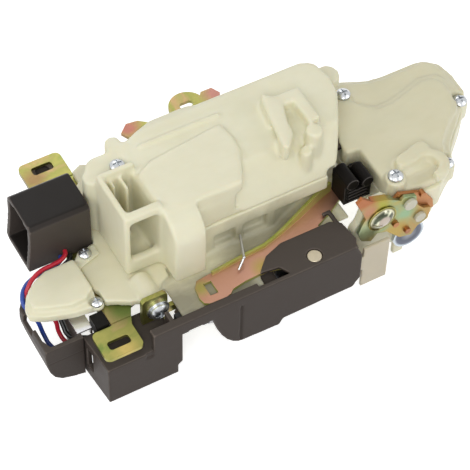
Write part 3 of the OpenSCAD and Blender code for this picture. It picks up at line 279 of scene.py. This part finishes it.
def painted_edge_highlight(place):
    """A share that rises on outward bends, where the edge highlight is painted."""
    bend = place.node("ShaderNodeNewGeometry", None, None, "Pointiness")
    return (bend * 24.0 - 12.5).clamped()


print("tops and edges can be found")

# %% [markdown]
# ## The black pieces
# One recipe serves them all. The cover is brownish with a paler top of painted sheen, the
# connector has a darker top of painted shade, the clip is nearly black with a pale painted
# highlight on its edges, and the little block beside the wires is plain black. The block's edges
# have the colour of its faces, because Pointiness takes a box of few faces for one long edge.

# %% Black plastics
def dark_plastic(name, base, worn, rough=0.46, grain_height=0.05, gloss=0.16, painted_top_shading=None, rim=None):
    """Dark plastic from base to worn, with painted sheen and shade on tops and a painted highlight on
    outward edges.
    """
    material, place, shader = finish(name)
    shader.inputs["Specular IOR Level"].default_value = gloss
    cloud = place.noise(60.0, 4.0, 0.6)
    grain = place.noise(3200.0, 2.0, 0.55)
    scuff = place.stretched((0.3, 1.0, 1.4)).noise(420.0, 5.0, 0.7)
    marks = (scuff * 3.0 - 1.7).clamped()
    colour = (cloud * 0.35 + marks * 0.3).clamped().mixed(base, worn)
    # Faces that look up take painted light: a paler sheen on the cover, darker shade on the connector.
    if painted_top_shading:
        colour = facing_up(place).mixed(colour, painted_top_shading)
    # Outward edges get a painted highlight, twice the worn tone unless a rim colour is given.
    colour = (painted_edge_highlight(place) * 0.8).mixed(colour, rim or tuple(c * 2.0 for c in worn))
    return settle(material, shader, colour, cloud * 0.22 + grain * 0.1 + (rough - 0.16),
                  grain * 0.7 + cloud * 0.5, grain_height, 0.4)


# The cover's paler top is a painted sheen.
black_plastic = dark_plastic("black plastic", (0.043, 0.033, 0.0275), (0.078, 0.063, 0.053), gloss=0.12,
                              painted_top_shading=(0.076, 0.063, 0.054))
# The connector's darker top is painted shade.
shroud_plastic = dark_plastic("shroud plastic", (0.058, 0.048, 0.042), (0.090, 0.075, 0.066),
                              painted_top_shading=(0.014, 0.0115, 0.010))
# The clip's pale rim colour is a painted edge highlight.
deep_black = dark_plastic("clip plastic", (0.007, 0.006, 0.0055), (0.018, 0.015, 0.013), 0.42, 0.03, 0.06,
                          rim=(0.17, 0.155, 0.145))
block_black = dark_plastic("block plastic", (0.007, 0.0065, 0.005), (0.010, 0.009, 0.007), 0.42, 0.03, 0.08,
                           rim=(0.010, 0.0095, 0.008))
soft_rubber = dark_plastic("black rubber", (0.02, 0.02, 0.02), (0.03, 0.03, 0.03), 0.7)
print("dark finishes:", black_plastic.name, deep_black.name, soft_rubber.name)

# %% [markdown]
# ## Yellow passivated zinc
# The pressed steel pieces are zinc plated and yellow passivated. The thin film shows straw
# yellow with drifting bands of green, gold and pink. A warped noise drives a ramp through
# those colours, which is the same idea as the real film: thickness decides the colour.
# Where the film ran thicker or thinner, as beside a bend, a pool of one colour lies round a
# point. The lever's flat plate is pink; its upstanding flange is duller and yellow green.

# %% Iridescent zinc
def yellow_zinc(name, stops, flat=None, flat_to=0.0, side=None, side_from=0.0, pools=()):
    """Zinc in the colours of its film.

    A flat plate below flat_to, and places above side_from, may have a colour of their own.
    Both are heights of the frame in metres.
    """
    material, place, shader = finish(name, 0.9)
    drift = place.noise(26.0, 2.0, 0.5, 1)
    warped = place.node("ShaderNodeVectorMath", {"operation": "MULTIPLY_ADD"},
                        {0: drift, 1: (0.05, 0.05, 0.05), 2: place})
    film = warped.noise(75.0, 3.0, 0.55)
    fine = place.noise(900.0, 3.0, 0.6)
    bands = (film * 1.7 - 0.35 + fine * 0.08).clamped()
    colour = bands.ramp(*stops)
    height = place.node("ShaderNodeSeparateXYZ", None, {0: place}, "Z")
    if flat:
        plate = ((flat_to - height) * 2500.0 + film * 1.4 - 0.2).clamped() * facing_up(place)
        colour = plate.mixed(colour, flat)
        shine = plate * 0.5 + 0.4
        material.node_tree.links.new(shine.socket, shader.inputs["Metallic"])
    if side:
        above = ((height - side_from) * 160.0 + film * 2.2 - 1.1).clamped()
        colour = above.mixed(colour, side)
    for centre, radius, tint in pools:
        colour = pool(place, centre, radius, film - 0.5).mixed(colour, tint)
    rough = film * 0.2 + fine * 0.12 + 0.2
    return settle(material, shader, colour, rough, fine + film * 2.0, 0.05, 0.22)


print("the film of zinc is ready")

# %% [markdown]
# ## Four plates, four films
# The carrier is straw and green with pink on its far tips. The key lever runs from sea green
# to orange, the plate behind it is copper, and the release lever is pink on its flat and
# yellow green on its flange. The stops and pools below are matched to the photograph.

# %% The plated plates
zinc_yellow = yellow_zinc("yellow zinc", (
    (0.0, (0.11, 0.17, 0.045)), (0.22, (0.22, 0.26, 0.065)), (0.42, (0.33, 0.31, 0.09)),
    (0.58, (0.28, 0.28, 0.08)), (0.74, (0.42, 0.29, 0.14)), (0.88, (0.34, 0.30, 0.11)),
    (1.0, (0.18, 0.25, 0.09))),
    pools=(((17, 20.5, 26.5), 7.0, (0.13, 0.175, 0.045)), ((14.5, 94, 26.5), 5.0, (0.26, 0.17, 0.075)),
           ((60, 100, 26.2), 5.5, (0.36, 0.15, 0.11)), ((101, 101, 26.2), 6.0, (0.40, 0.19, 0.15)),
           ((20.5, 9, 26.5), 3.2, (0.36, 0.19, 0.06)), ((9, 3.5, 26.5), 5.0, (0.52, 0.40, 0.13))))
zinc_key = yellow_zinc("key plate zinc", (
    (0.0, (0.17, 0.29, 0.16)), (0.3, (0.26, 0.32, 0.17)), (0.5, (0.37, 0.30, 0.08)),
    (0.7, (0.42, 0.24, 0.07)), (1.0, (0.25, 0.30, 0.16))),
    side=(0.36, 0.13, 0.05), side_from=0.0125,
    # The pale green pool on the lower left arm is green film lightened as painted light against the shade
    # there; the other pools are film colours.
    pools=(((116, 6, 28.5), 6.5, (0.48, 0.58, 0.36)), ((135, 6, 29), 5.5, (0.25, 0.37, 0.22)),
           ((131, 6, 21), 6.0, (0.40, 0.28, 0.07)), ((123, 6, 41), 5.0, (0.33, 0.32, 0.05)),
           ((117.5, 6, 40.5), 4.0, (0.42, 0.21, 0.12))))
zinc_copper = yellow_zinc("copper plate", (
    (0.0, (0.28, 0.085, 0.035)), (0.5, (0.42, 0.19, 0.07)), (1.0, (0.30, 0.13, 0.07))))
zinc_lever = yellow_zinc("lever zinc", (
    (0.0, (0.26, 0.32, 0.055)), (0.4, (0.38, 0.40, 0.08)), (0.7, (0.42, 0.40, 0.12)),
    (1.0, (0.30, 0.35, 0.09))), flat=(0.60, 0.325, 0.235), flat_to=0.0029,
    pools=(((46.5, 13, 29), 4.0, (0.46, 0.40, 0.14)), ((73, 10, 29), 4.5, (0.50, 0.36, 0.12))))
print("zinc finishes:", zinc_yellow.name, zinc_key.name, zinc_copper.name, zinc_lever.name)

# %% [markdown]
# ## Bright metals
# Screws, pins and springs are bright zinc or plain steel, the strip beside the wires is
# tinned, and the lever's pin is a pale gold. They differ mostly in roughness, and a little
# noise keeps them from looking like mirrors. On ground metal the noise is stretched.

# %% Bright zinc, steel, tin and gold
def bright_metal(name, base, rough, brushed=False):
    """Plain bright metal; brushed metal has its grain stretched."""
    material, place, shader = finish(name, 1.0)
    grain = place.stretched((1.0, 14.0, 1.0) if brushed else (1.0, 1.0, 1.0)).noise(700.0, 4.0, 0.6)
    cloud = place.noise(180.0, 2.0, 0.5)
    colour = cloud.mixed(base, tuple(c * 0.86 for c in base))
    return settle(material, shader, colour, grain * 0.16 + cloud * 0.08 + (rough - 0.1), grain, 0.02, 0.18)


bright_zinc = bright_metal("bright zinc", (0.60, 0.62, 0.64), 0.26)
plain_steel = bright_metal("ground steel", (0.50, 0.50, 0.51), 0.36, True)
spring_steel = bright_metal("spring wire", (0.62, 0.62, 0.63), 0.3)
tinned_strip = bright_metal("tinned strip", (0.86, 0.86, 0.88), 0.2)
pale_gold = bright_metal("pale gold pin", (0.62, 0.55, 0.41), 0.42, True)
print("bright finishes made")

# %% [markdown]
# ## Turned and plated heads
# The key rivet and the drive disc are turned, polished and plated, so their colour changes in
# rings round the axis: on the rivet tool marks, a shallow dish and a gold bloom at the rim; on
# the disc a dark ring and a pale rim band, painted reflection and highlight. The distance
# from the axis drives a ramp, and a little noise breaks the rings. On the rivet the shoulder
# of the dome is blotched dark and bright, which a second noise does between two radii.

# %% Rings round an axis
def turned_metal(name, centre, radius, stops, rough=0.2, blotches=None):
    """Plated metal with rings round an axis that runs along Y, out to a radius in mm."""
    material, place, shader = finish(name, 1.0)
    flat = place.node("ShaderNodeVectorMath", {"operation": "MULTIPLY_ADD"},
                      {0: place, 1: (1.0, 0.0, 1.0), 2: tuple(-part for part in at(*centre))})
    gap = flat.node("ShaderNodeVectorMath", {"operation": "LENGTH"}, {0: flat}, "Value")
    cloud = place.noise(260.0, 2.0, 0.5)
    share = (gap * (PER_METRE / radius) + cloud * 0.16 - 0.08).clamped()
    colour = share.ramp(*stops)
    if blotches:
        inner, outer, dark, light = blotches
        fade = 1.4
        reach = gap * (PER_METRE * fade)
        shoulder = (reach - inner * fade).clamped() * (outer * fade - reach).clamped()
        speckle = (place.noise(330.0, 1.0, 0.4) * 7.0 - 3.1).clamped()
        colour = shoulder.mixed(colour, speckle.mixed(dark, light))
    return settle(material, shader, colour, cloud * 0.14 + (rough - 0.07), cloud, 0.03, 0.2)


chrome = turned_metal("key rivet chrome", (124, 12.2, 33), 6.6, (
    (0.0, (0.44, 0.38, 0.33)), (0.40, (0.40, 0.34, 0.29)), (0.60, (0.36, 0.34, 0.27)),
    (0.76, (0.60, 0.58, 0.42)), (0.86, (0.13, 0.12, 0.03)), (1.0, (0.42, 0.38, 0.12))),
    blotches=(2.3, 5.0, (0.08, 0.09, 0.06), (0.66, 0.66, 0.50)))
# On the disc the dark ring and the pale band at the rim are painted reflection and highlight.
disc_chrome = turned_metal("drive disc chrome", (140, 12.2, 11), 7.4, (
    (0.0, (0.30, 0.31, 0.33)), (0.55, (0.09, 0.10, 0.13)), (0.78, (0.12, 0.13, 0.17)),
    (0.88, (0.46, 0.52, 0.58)), (1.0, (0.62, 0.64, 0.66))))
print("turned finishes:", chrome.name, disc_chrome.name)

# %% [markdown]
# ## Wire insulation
# Thin PVC is a smooth, softly shining plastic in one strong colour. A little noise darkens it
# here and there, so that three wires side by side don't look printed.

# %% Wire insulation
def insulation(name, base):
    """Smooth insulation in one colour."""
    material, place, shader = finish(name)
    cloud = place.noise(300.0, 2.0, 0.5)
    colour = cloud.mixed(base, tuple(c * 0.75 for c in base))
    return settle(material, shader, colour, cloud * 0.15 + 0.28, cloud, 0.03, 0.1)


blue_skin = insulation("blue insulation", (0.035, 0.085, 0.42))
red_skin = insulation("red insulation", (0.62, 0.02, 0.045))
black_skin = insulation("black insulation", (0.018, 0.018, 0.018))
print("wire finishes made")

# %% [markdown]
# ## Each piece gets its finish
# The record names a material slot for every piece. The finishes above are kept under those
# names, and each solid takes the one that its record asks for, unless it has a finish of its own.

# %% Hand out the finishes
finishes = {
    "black_plastic": black_plastic, "yellow_zinc": zinc_yellow, "steel": plain_steel,
    "bright_zinc": bright_zinc, "spring_steel": spring_steel, "rubber": soft_rubber,
    "cream_nylon": cream_nylon, "white_nylon": white_nylon, "beige_plastic": beige_plastic,
    "brass": zinc_copper, "chrome": chrome, "blue_wire": blue_skin, "red_wire": red_skin,
    "black_wire": black_skin}
own_finish = {"release_lever": zinc_lever, "key_lever": zinc_key, "key_link": zinc_copper,
              "release_pin": pale_gold, "rod_clip": deep_black, "lever_lid": lid_nylon,
              "key_bushings": worn_nylon, "drive_disc": disc_chrome,
              "connector_housing": shroud_plastic, "actuator_base": tray_nylon_painted_shade,
              "contact_strip": tinned_strip, "terminal_block": block_black}
for part in frame["record"]["subparts"]:
    solid = nodes[part["node"]]
    solid.data.materials.clear()
    solid.data.materials.append(own_finish.get(part["node"], finishes[part["material_slot"]]))

# %% [markdown]
# ## Putting a new piece on the lock
# A new piece stands on a body, so that it moves with it, and takes the place of the solid
# that it dresses. One helper says all of this for every piece made below.

# %% Place a piece
body_of = {name: body for body, names in frame["record"]["behaviour"]["bodies"].items() for name in names}


def dress(piece, node):
    """The piece takes the solid's place, rides with its body and shows its finish."""
    if piece.name not in bpy.context.scene.collection.objects:
        bpy.context.scene.collection.objects.link(piece)
    piece.data.materials.clear()
    piece.data.materials.append(nodes[node].data.materials[0])
    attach(piece, body_of[node])
    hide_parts(node)
    return piece


print("bodies:", sorted(set(body_of.values())))

# %% [markdown]
# ## Three wires
# The wires are held at both ends: they leave below the connector, fall into the open channel
# and end at the contact switch behind the latch face. A curve with a round bevel is the plain
# way to make a wire, because it stays a centre line whose length can be measured. Automatic
# handles carry it smoothly through the points of its route.

# %% A wire along its route
WIRE = 1.8 * MM


def wire(node, route):
    """A round wire along a route of the drawing, with its measured length."""
    line = bpy.data.curves.new(node + "_line", "CURVE")
    line.dimensions = "3D"
    line.resolution_u = 8
    line.bevel_depth = WIRE / 2
    line.bevel_resolution = 7
    line.use_fill_caps = True
    thread = line.splines.new("BEZIER")
    thread.bezier_points.add(len(route) - 1)
    for knot, point in zip(thread.bezier_points, route):
        knot.co = at(*point)
        knot.handle_left_type = knot.handle_right_type = "AUTO"
    piece = dress(bpy.data.objects.new(node + "_skin", line), node)
    length = thread.calc_length()
    print(node, "is", round(length / MM, 1), "mm long")


print("a wire is", round(WIRE / MM, 1), "mm thick")

# %% [markdown]
# ## The three routes
# Blue lies outermost over the lobe, red beside it, black innermost. Each route starts at the
# connector, and its middle follows the photograph. The ends are out of sight: they are laid
# as a person would lay them, to the pads of the contact switch.

# %% Blue, red and black
wire("wire_blue", (
    (6, 52.3, 29), (5.6, 51, 29), (2.6, 49.2, 29), (-3, 48.7, 28.8), (-8, 48.2, 28.2),
    (-12.1, 46.5, 27.4), (-14.8, 43.2, 26.8), (-15.6, 40.4, 25.6), (-14.2, 37.2, 22.8),
    (-12.9, 34.6, 20), (-12.2, 31.6, 15), (-11.4, 27.4, 12), (-9, 24.4, 10.4), (-4.4, 23.4, 9.6),
    (0, 22, 9.2), (4, 19, 8.4), (8, 16.8, 6.9), (10.2, 15.6, 6.3), (10.3, 14.5, 6.25)))
wire("wire_red", (
    (8, 52.3, 31.4), (7.6, 51, 31.4), (5, 49, 31.4), (1, 48.3, 31.4), (-4, 48, 31.2),
    (-8.4, 46.6, 30.4), (-11.4, 44.7, 28.8), (-13, 43.2, 26.4), (-12, 40.6, 24.6),
    (-9.4, 36.6, 22.4), (-6.8, 32, 20), (-6.6, 29.4, 15), (-5.6, 26, 12.6), (-3.4, 24.3, 12),
    (0.6, 22.6, 11.8), (6, 19.6, 10.8), (12, 17, 8), (15.1, 15.8, 6.4), (15.2, 14.5, 6.25)))
wire("wire_black", (
    (10, 52.3, 28.3), (9.6, 51, 28.2), (6.4, 48.9, 27.9), (1, 48, 27), (-3.4, 46.4, 25.8),
    (-5.2, 43, 25.1), (-4.9, 38, 23.4), (-4.6, 33, 20), (-4.5, 29.6, 17), (-4.3, 27, 15.2),
    (-2.6, 25, 14.5), (1.4, 23, 14.2), (7, 20, 13.6), (14, 16.4, 11.4), (18.8, 14.6, 9.6),
    (20, 12.9, 9.2)))

# %% [markdown]
# ## Moulded nylon has no sharp edge
# A nylon housing leaves its mould with rounds along every edge and fillets in every corner.
# A bevel on a shape with hundreds of crossing cuts fails somewhere, so the housings are
# remeshed instead: even small voxels replace the long thin triangles, and a few passes of
# smoothing turn every edge and every corner into a soft round, as the real mould does.
# The black pieces and the clip have finer ribs and grooves, so their voxels are smaller and
# their passes fewer. Where that makes too many faces, a Decimate step keeps a share of them.

# %% Soften the housings
def moulded(node, voxel, passes, kept):
    """A copy of a solid with even voxels in mm and rounded edges, in place of the solid."""
    work = bmesh.new()
    work.from_mesh(nodes[node].data)
    bmesh.ops.remove_doubles(work, verts=work.verts, dist=0.01 * MM)
    rough_mesh = bpy.data.meshes.new(node + "_rough")
    work.to_mesh(rough_mesh)
    work.free()
    piece = bpy.data.objects.new(node + "_moulded", rough_mesh)
    bpy.context.scene.collection.objects.link(piece)
    even = piece.modifiers.new("even", "REMESH")
    even.mode = "VOXEL"
    even.voxel_size = voxel * MM
    even.use_smooth_shade = True
    soft = piece.modifiers.new("soft", "SMOOTH")
    soft.factor = 0.5
    soft.iterations = passes
    if kept < 1.0:
        thin = piece.modifiers.new("thin", "DECIMATE")
        thin.ratio = kept
    bpy.context.view_layer.update()
    ready = bpy.data.meshes.new_from_object(piece.evaluated_get(bpy.context.evaluated_depsgraph_get()))
    piece.modifiers.clear()
    piece.data = ready
    bpy.data.meshes.remove(rough_mesh)
    dress(piece, node)
    print(node, len(ready.polygons), "faces")


for node, voxel, passes, kept in (
        ("actuator_shell", 0.62, 26, 1.0), ("actuator_base", 0.62, 5, 1.0), ("lever_lid", 0.55, 28, 1.0),
        ("lever_housing", 0.6, 6, 1.0), ("wire_cover", 0.42, 20, 1.0), ("latch_cover", 0.36, 3, 0.3),
        ("wire_channel", 0.3, 3, 0.4), ("connector_housing", 0.36, 5, 0.6), ("rod_clip", 0.24, 4, 1.0),
        ("guide_tab", 0.3, 2, 1.0)):
    moulded(node, voxel, passes, kept)

# %% [markdown]
# ## The pin of the release lever
# The pin ends in a broad flat head that fills the window of the shield. A turned shape is
# easiest as half of its outline, spun once round the axis. The spin leaves a seam and two
# doubled points on the axis, so doubles are merged and the faces are turned outwards after.

# %% Turn the pin
pin_at = (92.3, 4.6)
# Half of the outline, as pairs of reach from the axis and height in the drawing.
pin_outline = ((0, 14.2), (2, 14.2), (2, 29.1), (3.05, 29.1), (3.05, 30.3), (2.75, 30.62), (0, 30.7))
pin = bmesh.new()
knots = [pin.verts.new(at(pin_at[0] + reach, pin_at[1], height)) for reach, height in pin_outline]
rim = [pin.edges.new(pair) for pair in zip(knots, knots[1:])]
bmesh.ops.spin(pin, geom=knots + rim, cent=at(*pin_at, 0), axis=(0, 0, 1), angle=math.tau, steps=56,
               use_merge=True, use_duplicate=False)
bmesh.ops.remove_doubles(pin, verts=pin.verts, dist=0.002 * MM)
bmesh.ops.recalc_face_normals(pin, faces=pin.faces)
pin_mesh = bpy.data.meshes.new("release_pin_headed")
pin.to_mesh(pin_mesh)
pin.free()
dress(bpy.data.objects.new("release_pin_headed", pin_mesh), "release_pin")
print("pin with", len(pin_mesh.polygons), "faces")

# %% [markdown]
# ## A white world
# The background is white, but that much light from all sides would wash the lock out. Light
# Path tells the rays apart: the world is white for the camera and in reflections, and dimmer
# where it lights the lock, so that the lamps decide how bright the lock looks.

# %% White surroundings
def seen_or_mirrored(tree):
    """A share that is 1 for rays from the camera and for rays that metal or glass sends on."""
    path = tree.nodes.new("ShaderNodeLightPath")
    camera, glossy, through = [Wave(tree, path.outputs[ray]) for ray in (
        "Is Camera Ray", "Is Glossy Ray", "Is Transmission Ray")]
    return (camera + glossy + through).clamped()


WHITE = (1.0, 1.0, 1.0, 1.0)
SKY_LIGHT = 0.38
world = bpy.data.worlds.new("studio")
bpy.context.scene.world = world
world.use_nodes = True
sky = world.node_tree
sky.nodes.clear()
sky_end = sky.nodes.new("ShaderNodeOutputWorld")
dim = sky.nodes.new("ShaderNodeBackground")
dim.inputs[0].default_value = WHITE
dim.inputs[1].default_value = SKY_LIGHT
white = sky.nodes.new("ShaderNodeBackground")
white.inputs[0].default_value = WHITE
white.inputs[1].default_value = 1.0
share = sky.nodes.new("ShaderNodeMixShader")
sky.links.new(seen_or_mirrored(sky).socket, share.inputs[0])
sky.links.new(dim.outputs[0], share.inputs[1])
sky.links.new(white.outputs[0], share.inputs[2])
sky.links.new(share.outputs[0], sky_end.inputs[0])
print("world ready")

# %% [markdown]
# ## The floor
# A white sheet lies just below the lock, wide enough to fill every view, and takes its soft
# shadow. For the camera and in reflections it glows a little on top of its own matt white, so
# it ends as white as the world behind it.

# %% Lay the floor
FLOOR_DROP = 0.002
FLOOR_HALF = 3.0
PAPER_GREY = 0.9
PAPER_GLOW = 0.62
floor_height = cad_box[0][2] - FLOOR_DROP
floor_mesh = bmesh.new()
bmesh.ops.create_grid(floor_mesh, x_segments=1, y_segments=1, size=FLOOR_HALF,
                      matrix=Matrix.Translation((0.09, 0.04, floor_height)))
floor_data = bpy.data.meshes.new("floor")
floor_mesh.to_mesh(floor_data)
floor_mesh.free()
floor = bpy.data.objects.new("floor", floor_data)
bpy.context.scene.collection.objects.link(floor)
paper = bpy.data.materials.new("white paper")
paper.use_nodes = True
sheet = paper.node_tree
sheet.nodes.clear()
paper_end = sheet.nodes.new("ShaderNodeOutputMaterial")
matt = sheet.nodes.new("ShaderNodeBsdfDiffuse")
matt.inputs[0].default_value = (PAPER_GREY, PAPER_GREY, PAPER_GREY, 1.0)
glow = sheet.nodes.new("ShaderNodeEmission")
glow.inputs[0].default_value = WHITE
glow.inputs[1].default_value = PAPER_GLOW
both = sheet.nodes.new("ShaderNodeAddShader")
sheet.links.new(matt.outputs[0], both.inputs[0])
sheet.links.new(glow.outputs[0], both.inputs[1])
plain = sheet.nodes.new("ShaderNodeMixShader")
sheet.links.new(seen_or_mirrored(sheet).socket, plain.inputs[0])
sheet.links.new(matt.outputs[0], plain.inputs[1])
sheet.links.new(both.outputs[0], plain.inputs[2])
sheet.links.new(plain.outputs[0], paper_end.inputs[0])
floor_data.materials.append(paper)
print("floor lies at", round(floor_height, 4))

# %% [markdown]
# ## Lamps
# Product photographs of this kind use large soft boxes: a strong one above and in front, one
# to the left, a weaker one to the right and one behind for the far edges. Area lamps a few
# times the lock's size give the same broad highlights.

# %% Soft boxes
BOX_SIZE = 0.5
AIM = Vector((0.08, 0.045, 0.0))


def soft_box(name, place, watts):
    """A square area lamp at a place, turned to the middle of the lock."""
    data = bpy.data.lights.new(name, "AREA")
    data.shape = "SQUARE"
    data.size = BOX_SIZE
    data.energy = watts
    lamp = bpy.data.objects.new(name, data)
    bpy.context.scene.collection.objects.link(lamp)
    lamp.location = place
    lamp.rotation_euler = (AIM - Vector(place)).to_track_quat("-Z", "Y").to_euler()


soft_box("key box", (-0.34, -0.6, 0.72), 4.2)
soft_box("left box", (-0.75, 0.1, 0.5), 1.8)
soft_box("fill box", (0.65, -0.45, 0.45), 1.6)
soft_box("back box", (0.15, 0.75, 0.5), 1.6)
print("four soft boxes")

# %% [markdown]
# ## Camera
# The photograph looks down on the lock from the front and the left, rolled a little. The
# place and the three axes of the camera come from matching known edges of the lock, and are
# rebuilt here from azimuth, elevation and roll.

# %% The photograph's camera
PICTURE_WIDTH = 470.0
FOCAL_PIXELS = 1949.0
SENSOR_WIDTH = 36.0
azimuth, elevation, roll = math.radians(-30.5), math.radians(52.2), math.radians(1.7)
back = Vector((math.sin(azimuth) * math.cos(elevation), -math.cos(azimuth) * math.cos(elevation),
               math.sin(elevation)))
level = Vector((math.cos(azimuth), math.sin(azimuth), 0.0))
rise = back.cross(level)
right = level * math.cos(roll) + rise * math.sin(roll)
up = rise * math.cos(roll) - level * math.sin(roll)
lens = bpy.data.cameras.new("photo camera")
lens.sensor_width = SENSOR_WIDTH
lens.lens = SENSOR_WIDTH * FOCAL_PIXELS / PICTURE_WIDTH
lens.clip_start = 0.05
lens.clip_end = 20.0
camera = bpy.data.objects.new("photo camera", lens)
bpy.context.scene.collection.objects.link(camera)
camera.matrix_world = Matrix.Translation((-0.1753, -0.3865, 0.6063)) @ Matrix(
    (right, up, back)).transposed().to_4x4()
bpy.context.scene.camera = camera
bpy.context.scene.view_settings.view_transform = "Standard"
print("lens", round(lens.lens, 1), "mm")

# %% End
print("the scene is set")
